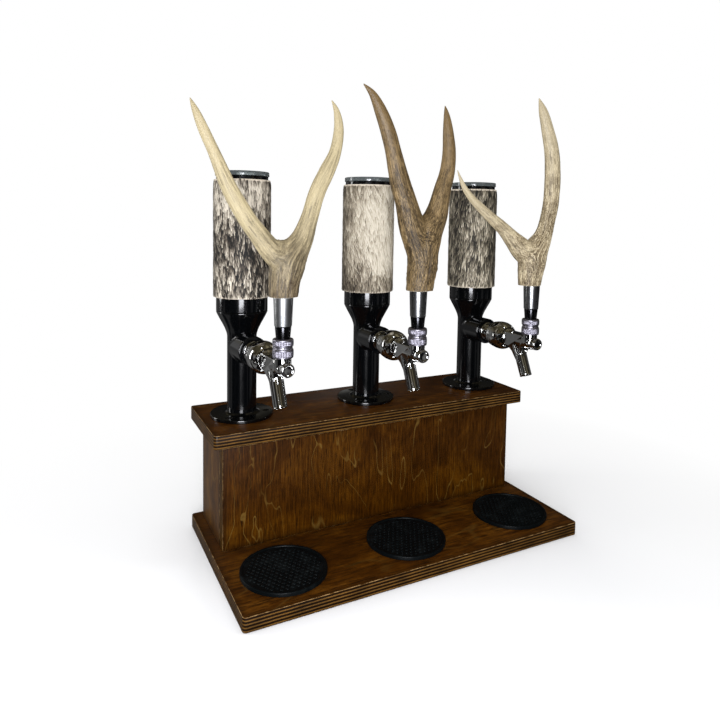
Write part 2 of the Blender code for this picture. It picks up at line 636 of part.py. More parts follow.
def make_antler(number, pivot, shape, material):
    beam = tine_mesh(f"antler_{number}", shape["right"])
    saw_cut(beam)
    antler = add_part(f"antler_handle_{number}", beam, material, pivot)
    branch = add_part(f"antler_branch_{number}", tine_mesh(f"branch_{number}", shape["left"]),
                      None, pivot, tool=True)
    for obj in (antler, branch):
        obj.location = (0, 0, ANTLER_BASE)
        obj.rotation_euler = (0, 0, math.radians(shape["turn"]))
    combine(antler, "UNION", branch)


def make_tap(number, materials):
    x = TAP_MIDDLE_X + (number - 2) * TAP_SPACING
    foot = add_empty(f"foot_{number}", (x, TAP_Y, DECK_Z))
    faucet = add_empty(f"faucet_turn_{number}", (0, 0, 0), foot, FAUCET_TURN[number - 1])
    axis = add_empty(f"faucet_axis_{number}", (0, 0, BOSS_Z), faucet)
    pivot = add_empty(f"tilt_axis_{number}", (0, -HANDLE_REACH, PIVOT_Z), faucet)

    make_flange(number, foot, materials["black_paint"])
    make_column(number, foot, faucet, materials["black_paint"])
    make_reservoir(number, foot, materials["black_paint"])
    make_sleeve(number, foot, materials["hide"])
    make_feed_tube(number, faucet, materials["feed_tube"])
    make_lid(number, foot, materials)

    make_shank(number, axis, materials["chrome"])
    make_coupling_nut(number, axis, materials["chrome"])
    make_faucet_body(number, axis, materials["chrome"])
    make_valve_shaft(number, axis, materials["steel"])
    make_bonnet_nut(number, pivot, materials["chrome"])

    make_lever(number, pivot, materials["steel"])
    make_collar(number, pivot, materials["chrome"])
    make_ferrule(number, pivot, materials["chrome"])
    make_antler(number, pivot, ANTLERS[number - 1], materials["antler"])


clear_scene()
PARTS = new_collection("beer_tap_tower")
TOOLS = new_collection("cutters_and_guides")
MATERIALS = make_materials()
make_stand(MATERIALS["plywood"])
for mat_number, mat_x in enumerate(MAT_XS, start=1):
    make_mat(mat_number, mat_x, MATERIALS["rubber"])
for tap_number in (1, 2, 3):
    make_tap(tap_number, MATERIALS)
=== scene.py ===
"""Looks for the three-tap drinks dispenser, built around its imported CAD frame."""
import json
import math
import random

import bmesh
import bpy
import numpy as np
from mathutils import Matrix, Vector, noise


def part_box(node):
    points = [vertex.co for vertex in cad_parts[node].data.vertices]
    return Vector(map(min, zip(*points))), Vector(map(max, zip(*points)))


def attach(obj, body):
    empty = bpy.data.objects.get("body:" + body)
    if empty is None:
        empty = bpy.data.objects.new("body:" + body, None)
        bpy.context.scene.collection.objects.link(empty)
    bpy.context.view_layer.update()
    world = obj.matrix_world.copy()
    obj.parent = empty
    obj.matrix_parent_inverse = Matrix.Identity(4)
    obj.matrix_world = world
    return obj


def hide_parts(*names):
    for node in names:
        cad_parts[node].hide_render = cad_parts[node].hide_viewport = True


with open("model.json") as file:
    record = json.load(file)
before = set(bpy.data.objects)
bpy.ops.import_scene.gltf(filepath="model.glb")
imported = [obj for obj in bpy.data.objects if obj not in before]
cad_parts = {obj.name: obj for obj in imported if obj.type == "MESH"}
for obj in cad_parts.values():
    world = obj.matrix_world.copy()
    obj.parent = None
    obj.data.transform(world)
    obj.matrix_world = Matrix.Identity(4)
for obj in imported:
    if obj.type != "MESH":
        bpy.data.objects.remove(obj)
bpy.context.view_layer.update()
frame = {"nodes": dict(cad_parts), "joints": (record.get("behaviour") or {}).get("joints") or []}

MM = 0.001
TAPS = (1, 2, 3)
PLIES = 9                         # of each plywood board, every other one pale


# ---- places read from the frame ---------------------------------------------------
def joint(name):
    return next(j for j in frame["joints"] if j["name"] == name)


def middle(node):
    low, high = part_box(node)
    return (low + high) / 2


def half_width(node):
    low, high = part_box(node)
    return (high.x - low.x) / 2


def bottom_and_top(node):
    """Heights of a node's ends above the deck."""
    return [corner.z - DECK_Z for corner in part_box(node)]


def tap_place(number):
    """Matrix from a tap's own frame (x right, -y forward, z up from its foot) to the row frame."""
    foot = middle(f"tower_flange_{number}")
    foot.z = DECK_Z
    axis = joint(f"handle_tilt_{number}")["axis"]
    return Matrix.Translation(foot) @ Matrix.Rotation(math.atan2(axis[1], axis[0]), 4, "Z")


DECK_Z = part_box("top_board")[1].z
PLACES = {n: tap_place(n) for n in TAPS}
TILT = Vector(joint("handle_tilt_2")["pos_m"]) - Vector(PLACES[2].translation)
REACH = -TILT.y                                   # handle axis in front of the column axis
PIVOT_Z = TILT.z                                  # tilt axis above the deck
VESSEL_RADIUS = half_width("reservoir_2")
VESSEL_TOP = bottom_and_top("reservoir_2")[1]
SLEEVE_RADIUS = half_width("hide_sleeve_2")
SLEEVE_BOTTOM, SLEEVE_TOP = bottom_and_top("hide_sleeve_2")
BELL_TOP = bottom_and_top("tower_column_2")[1]
FLANGE_RADIUS = half_width("tower_flange_2")
FERRULE_BOTTOM, FERRULE_TOP = bottom_and_top("handle_ferrule_2")
PIPE_RADIUS = 21 * MM
FLANGE_HEIGHT = 5 * MM
BOSS_Z = 102 * MM
BOSS_REACH = 48 * MM
SCREW_CIRCLE = 35 * MM
SCREW_ANGLES = (-17, 103, 223)
RING_RADIUS = 13.2 * MM
DOME_RADIUS = 16.1 * MM
COLLAR_TOP = PIVOT_Z + 21 * MM
SPOUT_TOP = Vector((0, -122.5, 102)) * MM
SPOUT_END = Vector((0, -145.5, 50)) * MM
FORWARD = Matrix.Rotation(math.pi / 2, 4, "X")    # turns a lathe's +Z to the tap's forward
AXIS_FORWARD = Matrix.Translation((0, 0, BOSS_Z)) @ FORWARD


# ---- mesh helpers -----------------------------------------------------------------
def linked(obj):
    bpy.context.scene.collection.objects.link(obj)
    return obj


def mm(*points, base=0.0):
    """Profile points (radius, height, fillet) given in millimetres above a base in metres."""
    return [(radius * MM, base + height * MM, *(f * MM for f in fillet))
            for radius, height, *fillet in points]


def mesh_from(bm, name, sharp=35):
    """Mesh from a bmesh, smooth but for edges sharper than the angle in degrees."""
    bmesh.ops.recalc_face_normals(bm, faces=bm.faces)
    mesh = bpy.data.meshes.new(name)
    bm.to_mesh(mesh)
    bm.free()
    return shaded(mesh, sharp)


def shaded(mesh, sharp=35):
    mesh.shade_smooth()
    mesh.set_sharp_from_angle(angle=math.radians(sharp))
    return mesh


def piece(name, mesh, material, body, replaces=(), place=None):
    """Add a mesh in the row frame as a piece that rides on a body."""
    if place is not None:
        mesh.transform(place)
    obj = linked(bpy.data.objects.new(name, mesh))
    mesh.materials.clear()
    mesh.materials.append(material)
    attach(obj, body)
    if replaces:
        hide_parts(*replaces)


def soften(points, closed=False, steps=4):
    """Round the corners of a profile; a point is (radius, height) or (radius, height, fillet)."""
    count = len(points)
    smooth = []
    for i, point in enumerate(points):
        here = Vector(point[:2])
        fillet = point[2] if len(point) > 2 else 0.0
        inside = closed or 0 < i < count - 1
        if not fillet or not inside:
            smooth.append(tuple(here))
            continue
        before = Vector(points[i - 1][:2]) - here
        after = Vector(points[(i + 1) % count][:2]) - here
        start = here + before.normalized() * min(fillet, 0.48 * before.length)
        end = here + after.normalized() * min(fillet, 0.48 * after.length)
        for k in range(steps + 1):
            t = k / steps
            smooth.append(tuple((1 - t) ** 2 * start + 2 * t * (1 - t) * here + t * t * end))
    return smooth


def circle(segments):
    """Cosine and sine of evenly spaced angles."""
    angles = [2 * math.pi * i / segments for i in range(segments)]
    return [(math.cos(a), math.sin(a)) for a in angles]


def add_walls(bm, rings):
    """Faces between successive rings of vertices, and a cap at each end."""
    for near, far in zip(rings, rings[1:]):
        for i in range(len(near)):
            j = (i + 1) % len(near)
            bm.faces.new((near[i], near[j], far[j], far[i]))
    bm.faces.new(rings[0][::-1])
    bm.faces.new(rings[-1])


def lathe_bm(profile, segments, closed=False):
    """Turn a (radius, height) profile round Z; points on the axis become one vertex."""
    bm = bmesh.new()
    rings = []
    for radius, height in profile:
        if radius < 1e-7:
            rings.append([bm.verts.new((0, 0, height))])
            continue
        rings.append([bm.verts.new((radius * x, radius * y, height)) for x, y in circle(segments)])
    pairs = list(zip(rings, rings[1:]))
    if closed:
        pairs.append((rings[-1], rings[0]))
    for upper, lower in pairs:
        for i in range(segments):
            j = (i + 1) % segments
            corners = [upper[i % len(upper)], upper[j % len(upper)],
                       lower[j % len(lower)], lower[i % len(lower)]]
            unique = list(dict.fromkeys(corners))
            if len(unique) > 2:
                bm.faces.new(unique)
    return bm


def lathe(name, points, segments, closed=False):
    return mesh_from(lathe_bm(soften(points, closed), segments, closed), name)


def turned(name, points, segments, material, body, replaces, place, closed=False):
    """Add a lathe-turned piece."""
    piece(name, lathe(name, points, segments, closed), material, body, replaces, place)


def box_bm(low, high, corner=0.0, arris=0.0):
    """Box with its upright edges rounded to corner, then every sharp edge to arris."""
    bm = bmesh.new()
    bmesh.ops.create_cube(bm, size=1.0)
    bmesh.ops.scale(bm, vec=Vector(high) - Vector(low), verts=bm.verts)
    bmesh.ops.translate(bm, vec=(Vector(low) + Vector(high)) / 2, verts=bm.verts)
    if corner:
        upright = [e for e in bm.edges if abs((e.verts[0].co - e.verts[1].co).normalized().z) > 0.9]
        bmesh.ops.bevel(bm, geom=upright, offset=corner, segments=6, profile=0.5, affect="EDGES")
    if arris:
        sharp = [e for e in bm.edges if e.calc_face_angle(0) > math.radians(40)]
        bmesh.ops.bevel(bm, geom=sharp, offset=arris, segments=3, profile=0.5, affect="EDGES")
    return bm


def join(*bmeshes):
    """One bmesh from several, which are freed."""
    whole = bmesh.new()
    for part in bmeshes:
        mesh = bpy.data.meshes.new("part")
        part.to_mesh(mesh)
        part.free()
        whole.from_mesh(mesh)
        bpy.data.meshes.remove(mesh)
    return whole


def moved(bm, matrix):
    bmesh.ops.transform(bm, matrix=matrix, verts=bm.verts)
    return bm


def evaluated(bm, name, *modifiers):
    """Mesh of a bmesh after modifiers, each given as (type, {property: value})."""
    bmesh.ops.recalc_face_normals(bm, faces=bm.faces)
    mesh = bpy.data.meshes.new(name)
    bm.to_mesh(mesh)
    bm.free()
    obj = linked(bpy.data.objects.new(name, mesh))
    for kind, settings in modifiers:
        modifier = obj.modifiers.new(kind, kind)
        for key, value in settings.items():
            setattr(modifier, key, value)
    graph = bpy.context.evaluated_depsgraph_get()
    result = bpy.data.meshes.new_from_object(obj.evaluated_get(graph))
    bpy.data.objects.remove(obj, do_unlink=True)
    bpy.data.meshes.remove(mesh)
    result.name = name
    return result


def subtract(mesh, cutters, name):
    """Boolean difference of a mesh and a list of cutter bmeshes."""
    cutter_mesh = mesh_from(join(*cutters), "cutters")
    cutter = linked(bpy.data.objects.new("cutter", cutter_mesh))
    bm = bmesh.new()
    bm.from_mesh(mesh)
    bpy.data.meshes.remove(mesh)
    result = evaluated(bm, name, ("BOOLEAN", {"object": cutter, "solver": "EXACT",
                                              "operation": "DIFFERENCE"}))
    bpy.data.objects.remove(cutter, do_unlink=True)
    bpy.data.meshes.remove(cutter_mesh)
    return shaded(result)


def upright_to(direction):
    """Rotation that turns +Z to a direction."""
    return Vector((0, 0, 1)).rotation_difference(direction).to_matrix().to_4x4()


def rod_bm(start, end, radius, end_radius=None, segments=48):
    """Capped rod or cone between two points."""
    start, end = Vector(start), Vector(end)
    bm = bmesh.new()
    bmesh.ops.create_cone(bm, cap_ends=True, segments=segments, radius1=radius,
                          radius2=radius if end_radius is None else end_radius,
                          depth=(end - start).length)
    return moved(bm, Matrix.Translation((start + end) / 2) @ upright_to(end - start))


def add_attribute(mesh, name, values):
    attribute = mesh.attributes.new(name, "FLOAT", "POINT")
    attribute.data.foreach_set("value", np.asarray(values, np.float32))


def coordinates(mesh):
    flat = np.empty(len(mesh.vertices) * 3)
    mesh.vertices.foreach_get("co", flat)
    return flat.reshape(-1, 3)


# ---- shader helpers ---------------------------------------------------------------
def plug(tree, socket, value):
    """Give a socket a link, a colour or a number."""
    if isinstance(value, bpy.types.NodeSocket):
        tree.links.new(value, socket)
    elif socket.type == "RGBA" and len(value) == 3:
        socket.default_value = (*value, 1.0)
    else:
        socket.default_value = value


def add_node(tree, kind, inputs=None, **properties):
    node = tree.nodes.new("ShaderNode" + kind)
    for key, value in properties.items():
        setattr(node, key, value)
    for key, value in (inputs or {}).items():
        plug(tree, node.inputs[key], value)
    return node


class Shader:
    """A node material with short calls for the nodes used here."""

    def __init__(self, name, **surface):
        self.material = bpy.data.materials.new(name)
        self.material.use_nodes = True
        self.tree = self.material.node_tree
        self.surface = self.tree.nodes["Principled BSDF"]
        self.set(**surface)
        self.object = self.add("TexCoord").outputs["Object"]

    def add(self, kind, inputs=None, **properties):
        return add_node(self.tree, kind, inputs, **properties)

    def set(self, **surface):
        for key, value in surface.items():
            socket = self.surface.inputs[key.replace("_", " ").title().replace("Ior", "IOR")]
            plug(self.tree, socket, value)

    def stretch(self, vector, scale):
        return self.add("Mapping", {"Vector": vector, "Scale": scale}).outputs[0]

    def noise(self, vector, scale, detail=4.0, rough=0.55, distortion=0.0):
        return self.add("TexNoise", {"Vector": vector, "Scale": scale, "Detail": detail,
                                     "Roughness": rough, "Distortion": distortion}).outputs[0]

    def math(self, operation, a, b=0.0):
        return self.add("Math", {0: a, 1: b}, operation=operation).outputs[0]

    def plus(self, a, b):
        return self.math("ADD", a, b)

    def times(self, a, b):
        return self.math("MULTIPLY", a, b)

    def sway(self, value, amount):
        """A value between 0 and 1 turned into one that sways round zero."""
        return self.times(self.math("SUBTRACT", value, 0.5), amount)

    def range(self, value, low, high, to_low=0.0, to_high=1.0):
        return self.add("MapRange", {0: value, 1: low, 2: high, 3: to_low, 4: to_high}).outputs[0]

    def mix(self, share, a, b, blend="MIX"):
        inputs = {0: share, 6: a, 7: b}
        return self.add("Mix", inputs, data_type="RGBA", blend_type=blend).outputs[2]

    def ramp(self, value, *stops):
        node = self.add("ValToRGB", {0: value})
        elements = node.color_ramp.elements
        while len(elements) < len(stops):
            elements.new(0.5)
        for element, (position, colour) in zip(elements, stops):
            element.position = position
            element.color = (*colour, 1.0)
        return node.outputs[0]

    def attribute(self, name):
        return self.add("Attribute", attribute_name=name).outputs["Fac"]

    def split(self, vector):
        return self.add("SeparateXYZ", {0: vector}).outputs

    def bump(self, height, strength, distance):
        node = self.add("Bump", {"Height": height, "Strength": strength, "Distance": distance})
        self.set(normal=node.outputs[0])


# ---- materials --------------------------------------------------------------------
def plywood(name, grain, figure, figured, tint, sheen, edge_axis, low, high):
    """Stained plywood: veneer on its faces, and plies where the normal is off edge_axis.

    grain and figure stretch the fibres and the contour-like figure along x, y and z, and
    figured is how strongly the figure shows.  The piece lies between low and high.
    """
    s = Shader(name, specular_ior_level=sheen)
    cloud = s.noise(s.object, 12.0, 5.0, 0.68, 0.8)
    fibre = s.noise(s.stretch(s.object, grain), 1.0, 5.0, 0.78, 0.10)
    pore = s.noise(s.stretch(s.object, [g * 2.6 for g in grain]), 1.0, 2.0, 0.6)
    tone = s.plus(s.times(fibre, 0.52), s.times(cloud, 0.48))
    veneer = s.ramp(tone, (0.38, (0.023, 0.0068, 0.0004)), (0.50, (0.050, 0.0155, 0.0007)),
                    (0.62, (0.102, 0.037, 0.0026)))
    veneer = s.mix(s.times(s.range(pore, 0.50, 0.62), 0.8), veneer,
                   (0.010, 0.0034, 0.0004))
    field = s.noise(s.stretch(s.object, figure), 1.0, 3.0, 0.52, 0.35)
    level = s.math("FRACT", s.times(field, 7.0))
    off_line = s.math("ABSOLUTE", s.math("SUBTRACT", level, 0.5))
    patch = s.range(s.noise(s.object, 9.0, 2.0), 0.38, 0.54)
    line = s.times(s.range(off_line, 0.010, 0.036, figured, 0.0), patch)
    veneer = s.mix(1.0, veneer, tint, "MULTIPLY")
    veneer = s.mix(line, veneer, (0.125, 0.070, 0.014))

    place = s.split(s.object)
    wander = s.sway(cloud, 0.0012)
    border = 0.0
    for axis in (0, 1, 2):
        if axis == edge_axis:
            continue
        off_centre = s.math("ABSOLUTE", s.math("SUBTRACT", place[axis], (low[axis] + high[axis]) / 2))
        half = (high[axis] - low[axis]) / 2
        near = s.range(s.plus(off_centre, s.times(wander, 9.0)),
                       half - 9 * MM, half, 0.0, 0.62)
        border = s.math("MAXIMUM", border, near)
    veneer = s.mix(border, veneer, (0.010, 0.0034, 0.0004))
    depth = s.range(s.plus(place[edge_axis], wander), low[edge_axis], high[edge_axis])
    ply = s.math("PINGPONG", s.times(depth, PLIES), 1.0)
    speckle = s.noise(s.object, 700.0, 3.0, 0.75)
    ply = s.plus(ply, s.sway(speckle, 0.55))
    edges = s.ramp(ply, (0.18, (0.004, 0.0014, 0.0003)), (0.55, (0.024, 0.0090, 0.0010)),
                   (0.85, (0.140, 0.066, 0.0110)))
    shade = s.range(s.noise(s.object, 38.0, 2.0), 0.3, 0.7, 0.50, 1.1)
    edges = s.mix(1.0, edges, s.add("CombineXYZ", {0: shade, 1: shade, 2: shade}).outputs[0],
                  "MULTIPLY")
    normal = s.split(s.add("TexCoord").outputs["Normal"])[edge_axis]
    facing = s.math("ABSOLUTE", normal)
    face = s.range(facing, 0.55, 0.8)
    colour = s.mix(face, edges, veneer)
    arris = s.times(s.range(facing, 0.30, 0.55), s.range(facing, 0.97, 0.80))
    rubbed = s.times(arris, s.range(s.noise(s.object, 120.0, 4.0, 0.7), 0.44, 0.60))
    s.set(base_color=s.mix(rubbed, colour, (0.30, 0.185, 0.075)),
          roughness=s.range(fibre, 0.3, 0.8, 0.30, 0.46))
    height = s.plus(s.times(face, s.times(fibre, 0.4)),
                    s.times(s.math("SUBTRACT", 1.0, face), ply))
    s.bump(height, 0.35, 0.0003)
    return s.material


def black_paint():
    """Glossy powder coat with faint orange peel and dust."""
    s = Shader("black_powder_coat", ior=1.5, specular_ior_level=0.36, coat_weight=0.40,
               coat_roughness=0.05)
    peel = s.noise(s.object, 650.0, 2.0, 0.5)
    dust = s.noise(s.object, 2400.0, 1.0, 0.5)
    cloud = s.noise(s.object, 35.0, 4.0, 0.6)
    s.set(base_color=s.mix(s.range(dust, 0.72, 0.8), (0.0008, 0.0010, 0.0013), (0.02, 0.02, 0.02)),
          roughness=s.range(cloud, 0.3, 0.7, 0.12, 0.17))
    s.bump(peel, 0.08, 0.0002)
    return s.material


def chrome(name, tint=(0.56, 0.56, 0.55), rough=0.035, brushed=0.0):
    """Plated metal with faint handling marks; brushed adds lines round a turned piece."""
    s = Shader(name, metallic=1.0, base_color=tint)
    smear = s.noise(s.object, 90.0, 4.0, 0.6, 0.5)
    lines = s.noise(s.stretch(s.object, (60, 60, 4200)), 1.0, 2.0, 0.5)
    s.set(roughness=s.plus(s.range(smear, 0.35, 0.75, rough, rough + 0.06),
                           s.times(lines, brushed)),
          base_color=s.mix(s.range(smear, 0.4, 0.8), tint, [c * 0.86 for c in tint]))
    s.bump(lines, 0.02 + brushed * 0.3, 0.0001)
    return s.material


def rubber():
    s = Shader("black_rubber", specular_ior_level=0.08)
    grain = s.noise(s.object, 1800.0, 3.0, 0.7)
    dust = s.noise(s.object, 60.0, 5.0, 0.65)
    s.set(base_color=s.mix(s.range(dust, 0.5, 0.75), (0.0018, 0.0026, 0.0030), (0.0060, 0.0080, 0.0086)),
          roughness=s.range(dust, 0.3, 0.7, 0.30, 0.44))
    s.bump(grain, 0.25, 0.0002)
    return s.material


def hide_leather():
    """Pale cut edge and inner face of the hide."""
    s = Shader("hide_leather", roughness=0.8)
    grain = s.noise(s.object, 700.0, 4.0, 0.7)
    s.set(base_color=s.ramp(grain, (0.3, (0.35, 0.29, 0.22)), (0.7, (0.62, 0.55, 0.45))))
    s.bump(grain, 0.5, 0.0004)
    return s.material


def hide_hair(name, stops):
    """Hair coloured strand by strand, from the tone stored on each vertex."""
    s = Shader(name, roughness=0.66, specular_ior_level=0.25)
    streak = s.noise(s.stretch(s.object, (1500, 1500, 70)), 1.0, 3.0, 0.6)
    value = s.plus(s.attribute("tone"), s.sway(streak, 0.5))
    s.set(base_color=s.ramp(value, *stops))
    s.bump(streak, 0.3, 0.0003)
    return s.material


def smoked_plastic():
    s = Shader("smoked_plastic", ior=1.46, transmission_weight=0.55, coat_weight=0.3)
    haze = s.noise(s.object, 120.0, 4.0, 0.6)
    s.set(base_color=s.mix(haze, (0.10, 0.115, 0.115), (0.17, 0.19, 0.19)),
          roughness=s.range(haze, 0.3, 0.7, 0.08, 0.22))
    s.bump(haze, 0.05, 0.0002)
    return s.material


def plain(name, colour, rough):
    """Quiet material for pieces that are mostly hidden: tinted noise and fine bump."""
    s = Shader(name)
    grain = s.noise(s.object, 400.0, 3.0, 0.6)
    s.set(base_color=s.mix(grain, [c * 0.85 for c in colour], [min(1, c * 1.12) for c in colour]),
          roughness=s.range(grain, 0.3, 0.7, rough, rough + 0.12))
    s.bump(grain, 0.15, 0.0002)
    return s.material


def antler_material(name, groove, beam, pale, tip, ivory_from):
    """Antler: grooved and finely beaded beam that fades to an ivory tip, with a pale sawn end."""
    s = Shader(name, specular_ior_level=0.4)
    saw = (0.60, 0.55, 0.46)
    along = s.attribute("along")
    place = s.add("CombineXYZ", {0: s.attribute("turn_x"), 1: s.attribute("turn_y"),
                                 2: s.times(along, 1.5)}).outputs[0]
    streak = s.noise(place, 8.5, 5.0, 0.65, 0.15)
    beads = s.noise(s.stretch(place, (1.0, 1.0, 3.0)), 24.0, 3.0, 0.72, 0.3)
    mottle = s.noise(s.object, 45.0, 4.0, 0.62)
    tone = s.plus(s.times(streak, 0.24), s.times(beads, 0.56))
    tone = s.plus(tone, s.times(mottle, 0.20))
    body = s.ramp(tone, (0.44, groove), (0.50, beam), (0.565, pale))
    ivory = s.mix(s.range(beads, 0.40, 0.62), [c * 0.66 for c in tip], tip)
    to_tip = s.plus(along, s.sway(mottle, 0.30))
    to_tip = s.plus(to_tip, s.sway(streak, 0.5))
    colour = s.mix(s.range(to_tip, ivory_from, ivory_from + 0.45, 0.0, 0.92), body, ivory)
    hollow = s.range(s.attribute("relief"), -0.05, -0.75, 0.0, 0.45)
    colour = s.mix(hollow, colour, [c * 0.55 for c in groove])
    marrow = s.noise(s.object, 420.0, 4.0, 0.7)
    colour = s.mix(s.attribute("cut"), colour,
                   s.ramp(marrow, (0.35, [c * 0.55 for c in saw]), (0.6, saw)))
    s.set(base_color=colour, roughness=s.range(to_tip, 0.3, 1.0, 0.54, 0.36))
    s.bump(s.plus(s.times(streak, 0.5), s.times(beads, 0.7)),
           0.5, 0.0008)
    return s.material


# ---- stand ------------------------------------------------------------------------
def make_stand():
    """Two boards with veneer running along x, on four panels with upright veneer."""
    along_x, waves_x = (16.0, 190.0, 190.0), (2.2, 7.0, 7.0)
    upright, waves_z = (420.0, 420.0, 16.0), (15.0, 15.0, 4.2)
    # The side panels' tint is a painted sheen: it lightens and cools them as if they reflected the white
    # room at a grazing angle.
    plain_stain, darker_panel_tint, painted_sheen_tint = (1.0, 1.0, 1.0), (0.80, 0.80, 0.50), (1.3, 1.55, 2.4)
    for node in ("base_board", "top_board"):
        low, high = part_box(node)
        material = plywood(f"plywood_{node}", along_x, waves_x, 0.20, plain_stain, 0.20, 2, low, high)
        bm = box_bm(low, high, corner=5 * MM, arris=0.9 * MM)
        piece(f"{node}_wood", mesh_from(bm, node), material, "stand", (node,))
    # The front and back panels take a darker tint of the same plywood.
    panels = {"front": (1, darker_panel_tint, 0.08), "back": (1, darker_panel_tint, 0.08),
              "left": (0, painted_sheen_tint, 0.40), "right": (0, painted_sheen_tint, 0.40)}
    for side, (axis, stain, sheen) in panels.items():
        node = f"riser_{side}_panel"
        low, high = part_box(node)
        material = plywood(f"plywood_{node}", upright, waves_z, 0.62, stain, sheen, axis, low, high)
        bm = box_bm(low, high, arris=0.5 * MM)
        piece(f"{node}_wood", mesh_from(bm, node), material, "stand", (node,))


def nub_template(radius, height, sides=8):
    """Vertices and faces of a small closed dome."""
    vertices = []
    for share, lift in ((1.0, -0.25), (0.86, 0.55), (0.45, 0.93)):
        vertices += [(radius * share * x, radius * share * y, height * lift) for x, y in circle(sides)]
    vertices.append((0.0, 0.0, height))
    faces = [tuple(range(sides - 1, -1, -1))]
    for ring in (0, sides):
        for i in range(sides):
            j = (i + 1) % sides
            faces.append((ring + i, ring + j, ring + sides + j, ring + sides + i))
    for i in range(sides):
        faces.append((2 * sides + i, 2 * sides + (i + 1) % sides, 3 * sides))
    return vertices, faces


def make_mat(number, material):
    """Rubber mat: raised rim round a field of staggered studs."""
    node = f"mat_{number}"
    low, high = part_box(node)
    radius = (high.x - low.x) / 2
    height = high.z - low.z
    field = height - 1.5 * MM
    rim = radius - 3.5 * MM
    profile = [(0, field), (rim - 0.6 * MM, field, 0.4 * MM), (rim, height, 0.6 * MM),
               (radius - 0.2 * MM, height, 1.1 * MM), (radius, 0.2 * MM, 0.3 * MM),
               (radius - 0.6 * MM, 0), (0, 0)]
    bm = lathe_bm(soften(profile), 128)
    pitch = 7.2 * MM
    nub_radius = 2.6 * MM
    dots, faces = nub_template(nub_radius, height - field - 0.2 * MM)
    row_pitch = pitch * 0.866                     # rows of a triangular grid
    rows = int(rim / row_pitch)
    for row in range(-rows, rows + 1):
        for column in range(-rows, rows + 1):
            x = (column + 0.5 * (row % 2)) * pitch
            y = row * row_pitch
            if math.hypot(x, y) >= rim - nub_radius - 0.9 * MM:
                continue
            new = [bm.verts.new((vx + x, vy + y, vz + field)) for vx, vy, vz in dots]
            for face in faces:
                bm.faces.new([new[i] for i in face])
    mesh = mesh_from(bm, node, 50)
    foot = middle(node)
    foot.z = low.z
    place = Matrix.Translation(foot)
    piece(f"rubber_mat_{number}", mesh, material, f"loose_mat_{number}", (node,), place)


# ---- columns ----------------------------------------------------------------------
def bell_curve(steps=16):
    """Side of the bell: a soft curve out of the pipe, then nearly a cone up to its rim."""
    start_z = 116 * MM
    end_z = BELL_TOP - 2.6 * MM
    spread = VESSEL_RADIUS - 0.5 * MM - PIPE_RADIUS
    points = []
    for i in range(steps + 1):
        t = i / steps
        flare = 0.65 * t ** 1.6 + 0.35 * t * t * (3 - 2 * t)
        points.append((PIPE_RADIUS + spread * flare, start_z + (end_z - start_z) * t))
    return points


def make_column(number, paint):
    rim = VESSEL_RADIUS
    points = ([(0, BELL_TOP), (rim - 0.1 * MM, BELL_TOP, 0.6 * MM), (rim, BELL_TOP - 1.5 * MM, 1 * MM)]
              + bell_curve()[::-1] + [(PIPE_RADIUS, 3.3 * MM), (0, 3.3 * MM)])
    mesh = mesh_from(join(lathe_bm(soften(points), 128), boss_bm()), f"column_{number}", 50)
    piece(f"column_{number}", mesh, paint, "stand",
          (f"tower_column_{number}",), PLACES[number])


def boss_bm(segments=96):
    """Side boss: a tube that flares softly where it meets the pipe, with a faced end."""
    flare, spread = 2.2 * MM, 5 * MM
    steps = 14
    bm = bmesh.new()
    rings = []
    for step in range(steps + 1):
        ring = []
        for x, z in circle(segments):
            start = max(PIPE_RADIUS * abs(z) - 1.5 * MM, 0)
            s = start + (BOSS_REACH - 1 * MM - start) * step / steps
            lift = max(0.0, 1 - (s - start - 1.5 * MM) / spread)
            radius = PIPE_RADIUS - 0.15 * MM + flare * min(lift, 1.0) ** 2 * abs(z)
            ring.append(bm.verts.new((radius * x, -s, BOSS_Z + radius * z)))
        rings.append(ring)
    bore = 11.3 * MM
    face = ((PIPE_RADIUS - 0.5 * MM, BOSS_REACH - 0.3 * MM), (PIPE_RADIUS - 1.2 * MM, BOSS_REACH),
            (bore, BOSS_REACH), (bore, BOSS_REACH - 6 * MM))
    for radius, s in face:
        rings.append([bm.verts.new((radius * x, -s, BOSS_Z + radius * z)) for x, z in circle(segments)])
    add_walls(bm, rings)
    return bm


def make_flange(number, paint, screw_metal):
    seat = PIPE_RADIUS + 0.2 * MM
    edge = FLANGE_RADIUS
    points = [(seat, 8 * MM), (seat + 0.8 * MM, 7 * MM, 1.5 * MM),
              (seat + 4 * MM, FLANGE_HEIGHT, 2.5 * MM), (edge - 0.1 * MM, FLANGE_HEIGHT, 1.2 * MM),
              (edge, 0.4 * MM, 0.3 * MM), (18 * MM, 0.4 * MM), (18 * MM, 3 * MM), (seat, 3 * MM)]
    mesh = lathe(f"flange_{number}", points, 128, closed=True)
    centres = [Matrix.Rotation(math.radians(a), 3, "Z") @ Vector((SCREW_CIRCLE, 0, 0))
               for a in SCREW_ANGLES]
    low, high = Vector((0, 0, FLANGE_HEIGHT - 2.7 * MM)), Vector((0, 0, FLANGE_HEIGHT + 0.5 * MM))
    sinks = [rod_bm(c + low, c + high, 2.6 * MM, 5.6 * MM, 32) for c in centres]
    mesh = subtract(mesh, sinks, f"flange_{number}")
    foot = Matrix.Translation(PLACES[number].translation)
    piece(f"flange_{number}", mesh, paint, "stand", (f"tower_flange_{number}",), foot)
    for index, centre in enumerate(centres, start=1):
        name = f"flange_screw_{number}_{index}"
        place = foot @ Matrix.Translation(centre) @ Matrix.Rotation(0.7 * index + number, 4, "Z")
        piece(name, screw_head(name), screw_metal, "stand", (), place)


